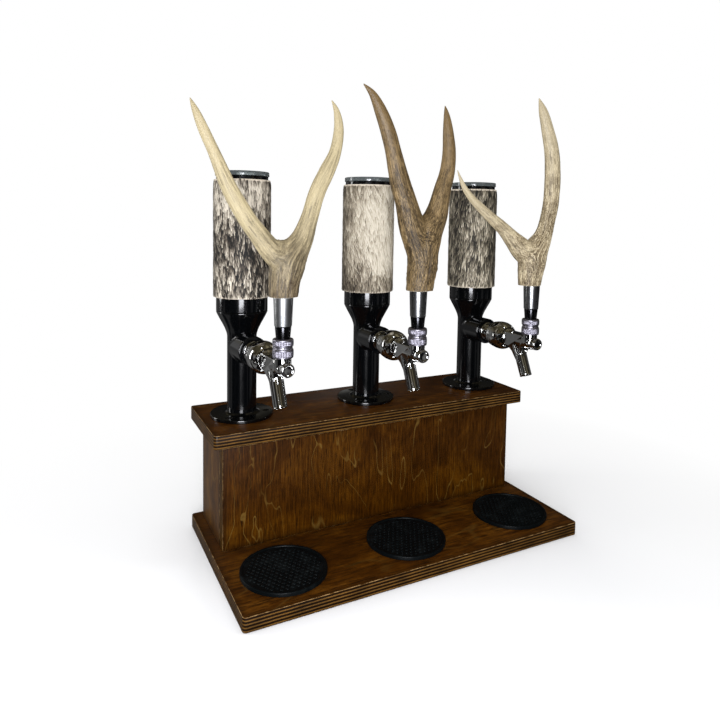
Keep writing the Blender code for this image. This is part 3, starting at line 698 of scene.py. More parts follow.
def screw_head(name):
    """Countersunk cross-head screw, seen from above in the flange."""
    top = FLANGE_HEIGHT - 0.5 * MM
    head = mm((0, 0.15), (3, 0.05), (4.6, -0.2, 0.3), (2.4, -2.1), base=top)
    mesh = lathe(name, head + mm((2.4, 0.6), (0, 0.6)), 32)
    for turn in (0, math.pi / 2):                 # crossed slots in one cut would leave nothing
        slot = box_bm((-2.4 * MM, -0.4 * MM, top - 1.3 * MM), (2.4 * MM, 0.4 * MM, top + MM))
        mesh = subtract(mesh, [moved(slot, Matrix.Rotation(turn, 4, "Z"))], name)
    return mesh


def make_reservoir(number, paint):
    outer = VESSEL_RADIUS
    inner = outer - 1.6 * MM
    points = [(inner, VESSEL_TOP, 0.5 * MM), (outer, VESSEL_TOP, 0.7 * MM),
              (outer, BELL_TOP + 0.3 * MM, 0.9 * MM), (8 * MM, BELL_TOP + 0.3 * MM),
              (8 * MM, BELL_TOP + 3 * MM), (inner, BELL_TOP + 3 * MM, 4 * MM)]
    turned(f"vessel_{number}", points, 128, paint, "stand",
           (f"reservoir_{number}",), PLACES[number], closed=True)


# ---- hide sleeves -----------------------------------------------------------------
def hide_tone(seed, pattern, angle, height):
    """Hair tone from 0 (dark) to 1 (cream) at an angle and a height on the sleeve."""
    x = math.cos(angle) * SLEEVE_RADIUS / MM
    y = math.sin(angle) * SLEEVE_RADIUS / MM
    z = height / MM
    spots = noise.noise(Vector((x * 0.17, y * 0.17, z * 0.05 + seed)))
    streaks = noise.noise(Vector((x * 0.6, y * 0.6, z * 0.075 + 3 * seed)))
    broad = noise.noise(Vector((x * 0.03 + seed, y * 0.03, z * 0.02)))
    share = (height - SLEEVE_BOTTOM) / (SLEEVE_TOP - SLEEVE_BOTTOM)
    return (pattern["base"](angle, share) + 0.40 * spots * pattern["spots"]
            + 0.40 * streaks * pattern["streaks"] + 0.20 * broad)


def coat_shell(seed, pattern, skin):
    """Vertices, faces and tones of the rippled underfur close to the skin, darkened as painted shade under
    the tufts.
    """
    around, up = 260, 100
    margin = 0.8 * MM
    rng = random.Random(seed)
    vertices, tones = [], []
    for row in range(up + 1):
        height = SLEEVE_BOTTOM + margin + (SLEEVE_TOP - SLEEVE_BOTTOM - 2 * margin) * row / up
        end = min(1.0, min(row, up - row) / 2)
        for column in range(around):
            angle = 2 * math.pi * column / around
            x, y = math.cos(angle), math.sin(angle)
            clump = noise.noise(Vector((x * 26, y * 26, height * 95 + seed)))
            radius = skin + end * (0.95 + 0.35 * clump) * MM
            vertices.append((radius * x, radius * y, height))
            # the tone is lowered by 0.16 as painted shade under the tufts
            tones.append(hide_tone(seed, pattern, angle, height) - 0.16 + rng.gauss(0, 0.05))
    faces = []
    for row in range(up):
        for column in range(around):
            a = row * around + column
            b = row * around + (column + 1) % around
            faces.append((a, b, b + around, a + around))
    return vertices, faces, tones


def add_strand(vertices, faces, tones, angle, root, length, half, skin, lift, lean, tone):
    """One tapering tuft that leaves the skin at its root and lies down to its tip; its tone is darkened at
    the root as painted shade deep in the coat, and paler towards the tip.
    """
    first = len(vertices)
    # the tint per station is painted shade at the root, paler at the tip
    for share, rise, taper, tint in ((0.0, 0.0, 0.8, -0.30), (0.35, 0.75, 1.0, -0.08),
                                     (0.75, 1.0, 0.7, 0.10)):
        radius = skin + 0.9 * MM + lift * rise
        for side in (-1, 1):
            a = angle + lean * share + side * half * taper / radius
            vertices.append((radius * math.cos(a), radius * math.sin(a), root - length * share))
            tones.append(tone + tint)
    radius = skin + 0.9 * MM + lift * 0.6
    vertices.append((radius * math.cos(angle + lean), radius * math.sin(angle + lean), root - length))
    tones.append(tone + 0.22)
    faces += [(first, first + 1, first + 3, first + 2), (first + 2, first + 3, first + 5, first + 4),
              (first + 4, first + 5, first + 6)]


def make_sleeve(number, pattern, hair, leather):
    """Leather tube, underfur over it, and tufts of hair that lie down over the fur."""
    rng = random.Random(40 + number)
    seed = 17.0 * number
    inner = VESSEL_RADIUS + 0.3 * MM
    skin = SLEEVE_RADIUS - 2.2 * MM
    tube = [(inner, SLEEVE_TOP, 0.3 * MM), (skin + 0.5 * MM, SLEEVE_TOP, 0.5 * MM),
            (skin + 0.5 * MM, SLEEVE_BOTTOM, 0.5 * MM), (inner, SLEEVE_BOTTOM, 0.3 * MM)]
    turned(f"hide_skin_{number}", tube, 96, leather, "stand", (f"hide_sleeve_{number}",),
           PLACES[number], closed=True)

    vertices, faces, tones = coat_shell(seed, pattern, skin)
    for _ in range(pattern["strands"]):
        angle = rng.uniform(0, 2 * math.pi)
        root = rng.uniform(SLEEVE_BOTTOM + 2 * MM, SLEEVE_TOP - 0.3 * MM)
        length = rng.uniform(*pattern["length"]) * MM
        length = min(length, root - SLEEVE_BOTTOM - rng.uniform(-0.6, 0.5) * MM)
        flow = noise.noise(Vector((math.cos(angle) * 2, math.sin(angle) * 2, root * 18 + seed)))
        lean = (pattern["lean"] + 0.10 * flow + rng.gauss(0, 0.035)) * length / (12 * MM)
        half = rng.uniform(*pattern["width"]) * MM / 2
        tone = hide_tone(seed, pattern, angle, root - 0.5 * length) + rng.gauss(0, pattern["jitter"])
        add_strand(vertices, faces, tones, angle, root, length, half, skin,
                   rng.uniform(0.3, 1.2) * MM, lean, tone)
    mesh = bpy.data.meshes.new(f"hide_hair_{number}")
    mesh.from_pydata(vertices, [], faces)
    mesh.shade_smooth()
    add_attribute(mesh, "tone", tones)
    piece(f"hide_hair_{number}", mesh, hair, "stand", (), PLACES[number])


# ---- lids -------------------------------------------------------------------------
def make_lid(number, plastic):
    radius = half_width(f"lid_{number}")
    skirt_bottom, top = bottom_and_top(f"lid_{number}")
    bottom = VESSEL_TOP + 0.3 * MM
    plate = top - 2.5 * MM
    points = [(0, plate), (12 * MM, plate + 0.1 * MM), (33 * MM, plate, 0.8 * MM), (34 * MM, top, 0.6 * MM),
              (radius - 0.2 * MM, top, 1.3 * MM), (radius, bottom, 0.5 * MM), (32.8 * MM, bottom),
              (32.8 * MM, skirt_bottom, 0.4 * MM), (30.8 * MM, skirt_bottom, 0.4 * MM),
              (30.8 * MM, bottom + 0.3 * MM, 0.6 * MM), (0, bottom)]
    mesh = lathe(f"lid_{number}", points, 128)
    slot = box_bm((12 * MM, -5 * MM, bottom - 2 * MM), (26 * MM, 5 * MM, top), corner=4.5 * MM)
    mesh = subtract(mesh, [slot], f"lid_{number}")
    place = Matrix.Translation(PLACES[number].translation)
    piece(f"lid_shell_{number}", mesh, plastic, f"lid_assembly_{number}",
          (f"lid_{number}",), place)
    tab = join(box_bm((9 * MM, -7 * MM, plate + 0.3 * MM), (29 * MM, 7 * MM, plate + 2 * MM),
                      corner=3 * MM, arris=0.4 * MM),
               box_bm((16 * MM, -6 * MM, plate + 1 * MM), (20 * MM, 6 * MM, plate + 4.4 * MM),
                      corner=1.2 * MM, arris=0.7 * MM))
    piece(f"lid_tab_{number}", mesh_from(tab, f"lid_tab_{number}"), plastic, f"slider_tab_{number}",
          (f"lid_slider_{number}",), place)


# ---- faucet -----------------------------------------------------------------------
def make_shank(number, metal):
    """Washer face at the boss, then a fine thread that runs into the nut."""
    radius = 11 * MM
    start, end = BOSS_REACH + 3.6 * MM, 68 * MM
    pitch = 1.5 * MM
    crests = int((end - start) / pitch)
    thread = []
    for i in range(crests):
        s = end - i * pitch
        thread += [(radius, s - 0.3 * pitch), (radius - 0.55 * MM, s - 0.75 * pitch)]
    points = ([(4.6 * MM, 74.7 * MM), (radius, 74.7 * MM)] + thread
              + [(radius, start), (14.2 * MM, start, 0.5 * MM), (15 * MM, start - 1.2 * MM, 0.5 * MM),
                 (15 * MM, BOSS_REACH + 0.3 * MM, 0.3 * MM), (radius, BOSS_REACH + 0.3 * MM),
                 (radius, 14 * MM), (4.6 * MM, 14 * MM)])
    turned(f"shank_chrome_{number}", points, 72, metal, "stand", (f"shank_{number}",),
           PLACES[number] @ AXIS_FORWARD, closed=True)


def make_coupling_nut(number, metal):
    """Ball-fronted nut with rolled rings at its rear and six spanner holes."""
    low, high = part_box(f"coupling_nut_{number}")
    radius = (high.z - low.z) / 2
    centre, front = 87.5 * MM, 103 * MM
    steps = 14
    angles = [math.asin((front - centre) / radius) * (1 - i / steps) for i in range(steps)]
    ball = [(radius * math.cos(a), centre + radius * math.sin(a)) for a in angles]
    groove = [(radius, 84 * MM), (radius - 0.2 * MM, 81.6 * MM, 0.3 * MM),
              (radius - 0.9 * MM, 81.3 * MM, 0.2 * MM), (radius - 0.9 * MM, 80.2 * MM, 0.2 * MM)]
    rear = mm((21.5, 79.8, 0.4), (21, 75.6, 0.4), (20, 75.2, 0.3), (20.1, 74.4, 0.2), (20.4, 74, 0.4),
              (19.9, 70.2, 0.8), (18.6, 68.2, 1), (16.2, 66.6, 0.4), (11.4, 66.6), (11.4, 70.6),
              (14.8, 70.6))
    points = [(14.8 * MM, front - 0.6 * MM, 0.3 * MM)] + ball + groove + rear
    mesh = lathe(f"nut_{number}", points, 128, closed=True)
    holes = []
    lean = math.radians(50)                       # of a hole's axis off the faucet's axis
    for x, y in circle(6):
        out = Vector((x * math.sin(lean), y * math.sin(lean), math.cos(lean)))
        at = Vector((0, 0, centre)) + out * radius
        holes.append(rod_bm(at - out * 2.2 * MM, at + out * 3 * MM, 2 * MM, 2.9 * MM, segments=32))
    mesh = subtract(mesh, holes, f"nut_{number}")
    piece(f"coupling_nut_chrome_{number}", mesh, metal, "stand",
          (f"coupling_nut_{number}",), PLACES[number] @ AXIS_FORWARD)


def web_bm():
    """Flat-sided hood over the barrel, tapering into a fin down the back of the spout."""
    outline = [(103, 10.2), (146, 10.2), (149, 3), (141, -5), (134, -30), (129.5, -39),
               (123.8, -29), (120, -19), (112.5, -11.5), (103, -10.2)]
    half, fin_top, narrowing = 10.4, -10.2, 0.30
    bm = bmesh.new()
    sides = []
    for side in (-1, 1):
        sides.append([bm.verts.new((side * (half - narrowing * max(fin_top - z, 0)) * MM, -s * MM,
                                    BOSS_Z + z * MM)) for s, z in outline])
    count = len(outline)
    bm.faces.new(sides[0])
    bm.faces.new(sides[1][::-1])
    for i in range(count):
        j = (i + 1) % count
        bm.faces.new((sides[0][i], sides[1][i], sides[1][j], sides[0][j]))
    bmesh.ops.triangulate(bm, faces=bm.faces[:])
    bmesh.ops.recalc_face_normals(bm, faces=bm.faces)
    return bm


def faucet_casting(name):
    """Barrel, bonnet seat, web and spout, fused and smoothed like a polished casting."""
    barrel = lathe_bm(mm((0, 160), (8.6, 160), (9.6, 158), (10.1, 154), (10.1, 108.5), (11.6, 106.2),
                         (13.2, 104.9), (14.1, 103.6), (14.1, 98), (0, 98)), 72)
    seat = rod_bm((0, -REACH, BOSS_Z), (0, -REACH, PIVOT_Z - 2 * MM), 10.6 * MM)
    spout = rod_bm(SPOUT_TOP, SPOUT_END, 9.6 * MM, 9.0 * MM, 64)
    fused = evaluated(join(moved(barrel, AXIS_FORWARD), seat, spout, web_bm()), name,
                      ("REMESH", {"mode": "VOXEL", "voxel_size": 0.55 * MM}),
                      ("SMOOTH", {"factor": 0.6, "iterations": 7}))
    along = (SPOUT_END - SPOUT_TOP).normalized()
    bore = rod_bm(SPOUT_END - along * 14 * MM, SPOUT_END + along * 4 * MM, 6.6 * MM, segments=48)
    trim = rod_bm(SPOUT_END - along * 0.4 * MM, SPOUT_END + along * 6 * MM, 16 * MM, segments=24)
    return subtract(fused, [bore, trim], name)


def make_faucet(number, metal):
    casting = faucet_casting(f"faucet_{number}")
    piece(f"faucet_casting_{number}", casting, metal, "stand",
          (f"faucet_body_{number}",), PLACES[number])
    cap = mm((0, 168.6), (5.4, 168.6, 0.4), (6.3, 169.9, 0.5), (8.2, 169.9, 0.9), (9, 168, 0.8),
             (9, 161, 0.6), (8.2, 159.5, 0.5), (8.2, 156), (0, 156))
    turned(f"faucet_cap_{number}", cap, 72, metal, "stand", (), PLACES[number] @ AXIS_FORWARD)
    rim = mm((6.3, 1.2, 0.4), (8.9, 1.2, 0.7), (9.3, 0, 0.4), (8.7, -1.2, 0.4), (6.3, -0.8))
    place = PLACES[number] @ Matrix.Translation(SPOUT_END) @ upright_to(SPOUT_TOP - SPOUT_END)
    turned(f"spout_rim_{number}", rim, 64, metal, "stand", (), place, closed=True)


def knurled(name, points, low, high, flutes=36, depth=0.45 * MM, band=2.2 * MM):
    """Turned ring from low to high whose outer wall, but for its bands, has straight flutes."""
    bm = lathe_bm(soften(points, True), flutes * 6, True)
    outer = max(math.hypot(v.co.x, v.co.y) for v in bm.verts)
    for vert in bm.verts:
        radius = math.hypot(vert.co.x, vert.co.y)
        if low + band < vert.co.z < high - band and radius > outer - 0.6 * MM:
            wave = abs(math.sin(math.atan2(vert.co.y, vert.co.x) * flutes / 2))
            shrink = 1 - depth * (1 - wave) ** 1.5 / radius
            vert.co.x *= shrink
            vert.co.y *= shrink
    return mesh_from(bm, name, 40)


def ring_walls(radius, low, high):
    """Outer wall of a knurled ring, with a plain band at each end, listed from the top."""
    band = 2.1 * MM
    inset = 0.5 * MM
    return [(radius - 1.1 * MM, high, 0.4 * MM), (radius - 0.2 * MM, high - 1 * MM, 0.5 * MM),
            (radius - 0.2 * MM, high - band), (radius - inset, high - band - 0.2 * MM),
            (radius, high - band - 0.5 * MM), (radius, (low + high) / 2),
            (radius, low + band + 0.5 * MM), (radius - inset, low + band + 0.2 * MM),
            (radius - 0.2 * MM, low + band), (radius - 0.2 * MM, low + 0.9 * MM, 0.5 * MM),
            (radius - 1.0 * MM, low, 0.3 * MM)]


def dome_points(radius, from_r, to_r, steps=6):
    """Points on the ball face round the tilt axis, from one radius to another."""
    result = []
    for i in range(steps + 1):
        r = from_r + (to_r - from_r) * i / steps
        result.append((r, PIVOT_Z + math.sqrt(radius * radius - r * r)))
    return result


def make_bonnet(number, metal):
    """Knurled bonnet nut under the ball-shaped joint."""
    low = PIVOT_Z - 2.7 * MM
    edge = PIVOT_Z + math.sqrt(DOME_RADIUS ** 2 - RING_RADIUS ** 2) - 0.4 * MM
    points = (dome_points(DOME_RADIUS, 5 * MM, RING_RADIUS - 1.3 * MM)
              + ring_walls(RING_RADIUS, low, edge)
              + mm((9.2, -2.8), (9.2, 6), (5, 7), base=PIVOT_Z))
    mesh = knurled(f"bonnet_{number}", points, low, edge)
    slot = box_bm((-4.6 * MM, -REACH - 11.6 * MM, PIVOT_Z + 2 * MM),
                  (4.6 * MM, -REACH + 2 * MM, PIVOT_Z + 20 * MM))
    mesh.transform(Matrix.Translation((0, -REACH, 0)))
    mesh = subtract(mesh, [slot], f"bonnet_{number}")
    piece(f"bonnet_chrome_{number}", mesh, metal, "stand", (f"bonnet_nut_{number}",),
          PLACES[number])


def make_handle_metal(number, metal, ferrule_metal, dark_metal, steel):
    """Lever, knurled collar and tapered two-step ferrule, which tilt with the antler."""
    body = f"handle_{number}"
    place = PLACES[number] @ Matrix.Translation((0, -REACH, 0))
    dish = DOME_RADIUS + 0.4 * MM
    low = PIVOT_Z + math.sqrt(dish ** 2 - (RING_RADIUS - 1.3 * MM) ** 2)
    points = (ring_walls(RING_RADIUS, low, COLLAR_TOP)
              + dome_points(dish, RING_RADIUS - 1.4 * MM, 4.4 * MM) + [(4.4 * MM, COLLAR_TOP)])
    collar = knurled(f"collar_{number}", points, low, COLLAR_TOP)
    piece(f"collar_chrome_{number}", collar, metal, body, (f"lever_collar_{number}",), place)

    step = PIVOT_Z + 37 * MM
    upper = (mm((5, 0), (11.9, 0, 0.4), (12.25, -1, 0.5), base=FERRULE_TOP)
             + mm((10.9, 0, 0.5), (10.1, -0.6, 0.3), (5, -0.6), base=step))
    turned(f"ferrule_{number}", upper, 96, ferrule_metal, body,
           (f"handle_ferrule_{number}",), place, closed=True)
    lower = (mm((5, -0.7), (10.2, -0.7, 0.3), base=step)
             + mm((8.9, 0.2, 0.5), (8.3, 0, 0.3), (5, 0), base=FERRULE_BOTTOM))
    turned(f"ferrule_foot_{number}", lower, 96, dark_metal, body, (), place, closed=True)

    stem = (mm((0, -13), (4.6, -13), base=FERRULE_TOP) + mm((4.6, 0.2), (4, 0), base=COLLAR_TOP)
            + mm((4, 4.2), (5.6, 1, 2), (5.2, -3, 2), (2.4, -6.2), (1.85, -13.9), (2.9, -16, 1.5),
                 (1.5, -18.5, 1), (0, -18.7), base=PIVOT_Z))
    turned(f"lever_steel_{number}", stem, 40, steel, body, (f"lever_{number}",), place)


# ---- antlers ----------------------------------------------------------------------
# Stations up each tine: sideways position, height above the saw cut, radius, in millimetres.
# "web" fills the fork between them, and "thorn" is a knob on the side of the base.
ANTLERS = (
    {"turn": 0.0, "burr": 0.35,
     "right": ((0, -6, 17.4), (1.5, 20, 20), (7, 44, 22), (24, 70, 14.8), (34, 97, 11.2),
               (45, 131, 10.4), (58, 156, 10.3), (69, 180, 8.1), (74, 208, 6.8),
               (71, 231, 4.4), (63, 246, 1)),
     "left": ((4, 38, 17), (-17, 58, 13.8), (-32, 76, 12), (-46, 94, 10.9), (-67, 128, 9.8),
              (-87, 172, 7.2), (-98, 195, 6.4), (-107, 215, 4.5), (-114, 230, 1)),
     "web": ((-13, 59.5, 11.5), (2, 57.5, 13), (18, 63, 12))},
    {"turn": 0.0, "burr": 0.8,
     "right": ((2.4, -6, 18.6), (3, 12, 19.8), (5.5, 34, 21.6), (6.5, 54, 22.3), (12, 76, 21.5),
               (26, 103, 16.8), (35, 137, 12.6), (43, 164, 11.2), (45.5, 192, 9.8), (43, 219, 7.8),
               (40, 240, 4.8), (36.5, 255, 1)),
     "left": ((2, 55, 20.5), (-12, 88, 18.8), (-22, 118, 15.6), (-33, 148, 14), (-44, 187, 11.3),
              (-52, 212, 10.5), (-64, 238, 8.6), (-76, 258, 5.2), (-90, 270, 1.2)),
     "web": ((-4, 84.5, 9), (8, 83, 10.5), (20, 88, 9)),
     "thorn": ((10, 31, 15), (19, 30.5, 11), (26.5, 29, 6.5), (30, 28.5, 2))},
    {"turn": -8.0, "burr": 0.5,
     "right": ((-4.5, -6, 17), (-3.2, 18, 19.6), (-1.5, 32, 21.3), (1, 47, 21.8), (16.5, 73, 14.5),
               (23.5, 96, 12.3), (29.5, 128, 12.4), (30.5, 172, 12.2), (27, 206, 11.5), (18, 238, 9.4),
               (10, 262, 7), (1.5, 282, 1)),
     "left": ((0, 40, 18), (-19, 54, 17.3), (-37.5, 70.5, 13), (-54, 86, 10), (-80, 106, 7.6),
              (-104, 126, 5.9), (-120, 145, 4.2), (-132, 170, 1)),
     "web": ((-12, 53.5, 12), (-3, 54, 12), (8, 60, 11))},
)
ANTLER_DEPTH = 0.85


def catmull(stations, steps):
    padded = [stations[0], *stations, stations[-1]]
    points = []
    for p, q, r, s in zip(padded, padded[1:], padded[2:], padded[3:]):
        p, q, r, s = (np.array(v, float) for v in (p, q, r, s))
        for i in range(steps):
            t = i / steps
            points.append(0.5 * (2 * q + (r - p) * t + (2 * p - 5 * q + 4 * r - s) * t * t
                                 + (3 * q - p - 3 * r + s) * t ** 3))
    points.append(np.array(stations[-1], float))
    return np.array(points)


def tangents(path):
    """Unit directions along a path of (x, z, radius) rows."""
    steps = np.gradient(path[:, :2], axis=0)
    return steps / np.linalg.norm(steps, axis=1)[:, None]


def tine_bm(path, sides=32):
    """Round tube along a path of (x, z, radius) rows, closed at both ends."""
    bm = bmesh.new()
    rings = []
    for (x, z, radius), (tx, tz) in zip(path, tangents(path)):
        ring = []
        for across, deep in circle(sides):
            side = radius * across
            deep = radius * deep * ANTLER_DEPTH
            ring.append(bm.verts.new(((x + side * tz) * MM, deep * MM, (z - side * tx) * MM)))
        rings.append(ring)
    add_walls(bm, rings)
    return bm


def tine_field(path, start, points):
    """Per point: closeness to a tine, distance along it and the direction off its axis."""
    spine = np.stack([path[:, 0], np.zeros(len(path)), path[:, 1]], axis=1)
    steps = np.linalg.norm(np.diff(path[:, :2], axis=0), axis=1)
    travel = start + np.concatenate([[0], np.cumsum(steps)])
    tangent = tangents(path)
    gaps = points[:, None, :] - spine[None, :, :]
    distance = np.linalg.norm(gaps, axis=2) / np.maximum(path[None, :, 2], 2.0)
    index = distance.argmin(axis=1)
    gap = gaps[np.arange(len(points)), index]
    side = gap[:, 0] * tangent[index, 1] - gap[:, 2] * tangent[index, 0]
    off = np.stack([side, gap[:, 1]], axis=1)
    off /= np.maximum(np.linalg.norm(off, axis=1), 1e-6)[:, None]
    return distance.min(axis=1), travel[index], travel[-1], off


FORK_HEIGHT = 55.0                # distance along the beam at which the left tine leaves it


def antler_mesh(shape, number):
    """Both tines fused and smoothed, then grooved, pearled and sawn off flat."""
    right = catmull(shape["right"], 8)
    left = catmull(shape["left"], 8)
    fills = [tine_bm(catmull(shape[key], 8)) for key in ("web", "thorn") if key in shape]
    mesh = evaluated(join(tine_bm(right), tine_bm(left), *fills), f"antler_{number}",
                     ("REMESH", {"mode": "VOXEL", "voxel_size": 0.95 * MM}),
                     ("SMOOTH", {"factor": 0.5, "iterations": 22}))
    co = coordinates(mesh) / MM
    near_r, travel_r, full_r, off_r = tine_field(right, 0.0, co)
    near_l, travel_l, full_l, off_l = tine_field(left, FORK_HEIGHT, co)
    share = np.clip(0.5 + (near_r - near_l) * 1.2, 0, 1)
    share = share * share * (3 - 2 * share)
    travel = travel_r * (1 - share) + travel_l * share
    along = travel_r / full_r * (1 - share) + travel_l / full_l * share
    off = off_r * (1 - share[:, None]) + off_l * share[:, None]
    relief = np.zeros(len(co))
    swell = np.zeros(len(co))
    seed = 31.0 * number
    for i, (s, (x, y), t) in enumerate(zip(travel, off, along)):
        groove = noise.fractal(Vector((x * 4.6, y * 4.6, s * 0.026 + seed)), 0.6, 2.1, 4)
        pearl = noise.noise(Vector((x * 5.5, y * 5.5, s * 0.16 + seed)))
        lump = noise.noise(Vector((x * 0.9, y * 0.9, s * 0.03 + seed)))
        fade = max(0.0, 1.0 - t) ** 0.7
        relief[i] = groove
        swell[i] = (0.75 * groove * fade + 0.5 * lump * fade
                    + shape["burr"] * max(0.0, pearl) * 1.5 * max(0.0, 1 - s / 110.0))
    normals = np.empty(len(mesh.vertices) * 3)
    mesh.vertices.foreach_get("normal", normals)
    moved_co = (co + normals.reshape(-1, 3) * swell[:, None]) * MM
    mesh.vertices.foreach_set("co", moved_co.ravel())
    add_attribute(mesh, "along", along)
    add_attribute(mesh, "turn_x", off[:, 0])
    add_attribute(mesh, "turn_y", off[:, 1])
    add_attribute(mesh, "relief", relief)
    return sawn(mesh, f"antler_{number}")


def sawn(mesh, name):
    """Cut the mesh flat at height zero and mark the new face for its own colour."""
    bm = bmesh.new()
    bm.from_mesh(mesh)
    bpy.data.meshes.remove(mesh)
    bmesh.ops.bisect_plane(bm, geom=bm.verts[:] + bm.edges[:] + bm.faces[:],
                           plane_co=(0, 0, 0.2 * MM), plane_no=(0, 0, 1), clear_inner=True)
    rim = [e for e in bm.edges if e.is_boundary]
    cap = bmesh.ops.contextual_create(bm, geom=rim)["faces"]
    bmesh.ops.inset_region(bm, faces=cap, thickness=0.5 * MM, depth=0)
    cut = bm.verts.layers.float.new("cut")
    for face in bm.faces:
        if face.normal.z < -0.99 and abs(face.calc_center_median().z - 0.2 * MM) < 0.05 * MM:
            for vert in face.verts:
                vert[cut] = 1.0
    bmesh.ops.triangulate(bm, faces=cap)
    return mesh_from(bm, name, 50)


def make_antler(number, material):
    shape = ANTLERS[number - 1]
    place = (PLACES[number] @ Matrix.Translation((0, -REACH, FERRULE_TOP + 0.1 * MM))
             @ Matrix.Rotation(math.radians(shape["turn"]), 4, "Z"))
    piece(f"antler_{number}", antler_mesh(shape, number), material, f"handle_{number}",
          (f"antler_handle_{number}",), place)


# ---- light, floor and camera ------------------------------------------------------
def make_floor():
    """Pale floor, lit round the stand and fading to the white of the background."""
    floor = bpy.data.meshes.new("floor")
    half, depth = 8.0, -0.5 * MM
    corners = ((-half, -half), (half, -half), (half, half), (-half, half))
    floor.from_pydata([(x, y, depth) for x, y in corners], [], [(0, 1, 2, 3)])
    s = Shader("pale_floor", roughness=0.7, specular_ior_level=0.1)
    s.set(base_color=s.mix(s.noise(s.object, 3.0), (0.86, 0.86, 0.86), (0.89, 0.89, 0.89)))
    distance = s.add("VectorMath", {0: s.object}, operation="LENGTH").outputs["Value"]
    glow = s.add("Emission", {"Color": (1.0, 1.0, 1.0), "Strength": BACKGROUND})
    fade = s.add("MixShader", {0: s.range(distance, 0.30, 0.75)})
    s.tree.links.new(s.surface.outputs[0], fade.inputs[1])
    s.tree.links.new(glow.outputs[0], fade.inputs[2])
    s.tree.links.new(fade.outputs[0], s.tree.nodes["Material Output"].inputs[0])
    obj = linked(bpy.data.objects.new("floor", floor))
    floor.materials.append(s.material)
    obj.visible_glossy = False


def area_light(name, place, target, size, power, colour=(1, 1, 1), reflected=True):
    """Soft box of a given width and height that faces its target."""
    data = bpy.data.lights.new(name, "AREA")
    data.shape = "RECTANGLE"
    data.size, data.size_y = size
    data.energy = power
    data.color = colour
    obj = linked(bpy.data.objects.new(name, data))
    obj.location = place
    obj.rotation_euler = (Vector(target) - Vector(place)).to_track_quat("-Z", "Y").to_euler()
    obj.visible_camera = False
    obj.visible_glossy = reflected


BACKGROUND = 1.0                  # white seen by the camera
OLIVE_CEILING = (1.0, 0.86, 0.52) # tint of reflections from above
GREY_WALL = (-0.52, 0.85, -0.06)  # where reflections see a grey wall, behind the stand's left end
AMBIENT = 0.40                    # grey that lights every side


def make_world():
    """White to the camera, grey light from all sides, and a dim room in reflections."""
    world = bpy.data.worlds.new("studio")
    bpy.context.scene.world = world
    world.use_nodes = True
    tree = world.node_tree
    tree.nodes.clear()

    def node(kind, inputs=None, **properties):
        return add_node(tree, kind, inputs, **properties)

    place = node("TexCoord").outputs["Generated"]
    height = node("SeparateXYZ", {0: place}).outputs[2]
    blotch = node("TexNoise", {"Vector": place, "Scale": 2.6, "Detail": 2.0}).outputs[0]
    patches = node("MapRange", {0: blotch, 1: 0.55, 2: 0.62, 3: 0.0, 4: 0.20}).outputs[0]
    sky = node("MapRange", {0: height, 1: 0.1, 2: 0.9, 3: 0.006, 4: 0.085}).outputs[0]
    towards_wall = node("VectorMath", {0: place, 1: GREY_WALL}, operation="DOT_PRODUCT").outputs["Value"]
    wall = node("MapRange", {0: towards_wall, 1: 0.80, 2: 0.90, 3: 0.0, 4: 0.13}).outputs[0]
    room = node("Math", {0: patches, 1: sky}, operation="ADD").outputs[0]
    room = node("Math", {0: room, 1: wall}, operation="ADD").outputs[0]
    path = node("LightPath").outputs
    level = node("Mix", {0: path["Is Glossy Ray"], 2: AMBIENT, 3: room}).outputs[0]
    level = node("Mix", {0: path["Is Camera Ray"], 2: level, 3: BACKGROUND}).outputs[0]
    warm = node("MapRange", {0: height, 1: 0.15, 2: 0.5}).outputs[0]
    warm = node("Math", {0: warm, 1: path["Is Glossy Ray"]}, operation="MULTIPLY").outputs[0]
    tint = node("Mix", {0: warm, 6: (1.0, 1.0, 1.0), 7: OLIVE_CEILING}, data_type="RGBA").outputs[2]
    shine = node("Background", {"Color": tint, "Strength": level})
    node("OutputWorld", {0: shine.outputs[0]})
    world.cycles.sampling_method = "NONE"         # so that Is Glossy Ray holds for every ray


CAMERA_PLACE = Vector((-0.454206, -0.804289, 0.478352))
CAMERA_YAW = 0.48                 # turned from +Y towards +X
CAMERA_PITCH = 0.066              # tipped down
CAMERA_ROLL = 0.016
CAMERA_LENS = 31.04               # millimetres on a 36 mm sensor
LENS_SHIFT = {"shift_x": -0.00966, "shift_y": -0.14153}


def make_camera():
    data = bpy.data.cameras.new("camera")
    data.lens = CAMERA_LENS
    data.sensor_width = 36.0
    data.clip_start = 0.01
    camera = linked(bpy.data.objects.new("camera", data))
    forward = Vector((math.sin(CAMERA_YAW) * math.cos(CAMERA_PITCH),
                      math.cos(CAMERA_YAW) * math.cos(CAMERA_PITCH), -math.sin(CAMERA_PITCH)))
    right = Vector((math.cos(CAMERA_YAW), -math.sin(CAMERA_YAW), 0))
    up = right.cross(forward)
    rolled_right = right * math.cos(CAMERA_ROLL) + up * math.sin(CAMERA_ROLL)
    rolled_up = up * math.cos(CAMERA_ROLL) - right * math.sin(CAMERA_ROLL)
    turn = Matrix((rolled_right, rolled_up, -forward)).transposed()
    camera.rotation_mode = "XYZ"
    camera.location = CAMERA_PLACE
    camera.rotation_euler = turn.to_euler()
    for path, value in LENS_SHIFT.items():
        shift_only_for_main_view(camera, path, value)
    bpy.context.scene.camera = camera


def shift_only_for_main_view(camera, path, value):
    """Drive a lens shift that applies while the camera turns by XYZ angles, and is 0 otherwise."""
    curve = camera.data.driver_add(path)
    curve.driver.type = "SUM"
    variable = curve.driver.variables.new()
    variable.targets[0].id = camera
    variable.targets[0].data_path = "rotation_mode"
    for modifier in list(curve.modifiers):
        curve.modifiers.remove(modifier)
    scale = curve.modifiers.new("GENERATOR")
    scale.mode = "POLYNOMIAL"
    scale.poly_order = 1
    scale.coefficients = (0.0, value)


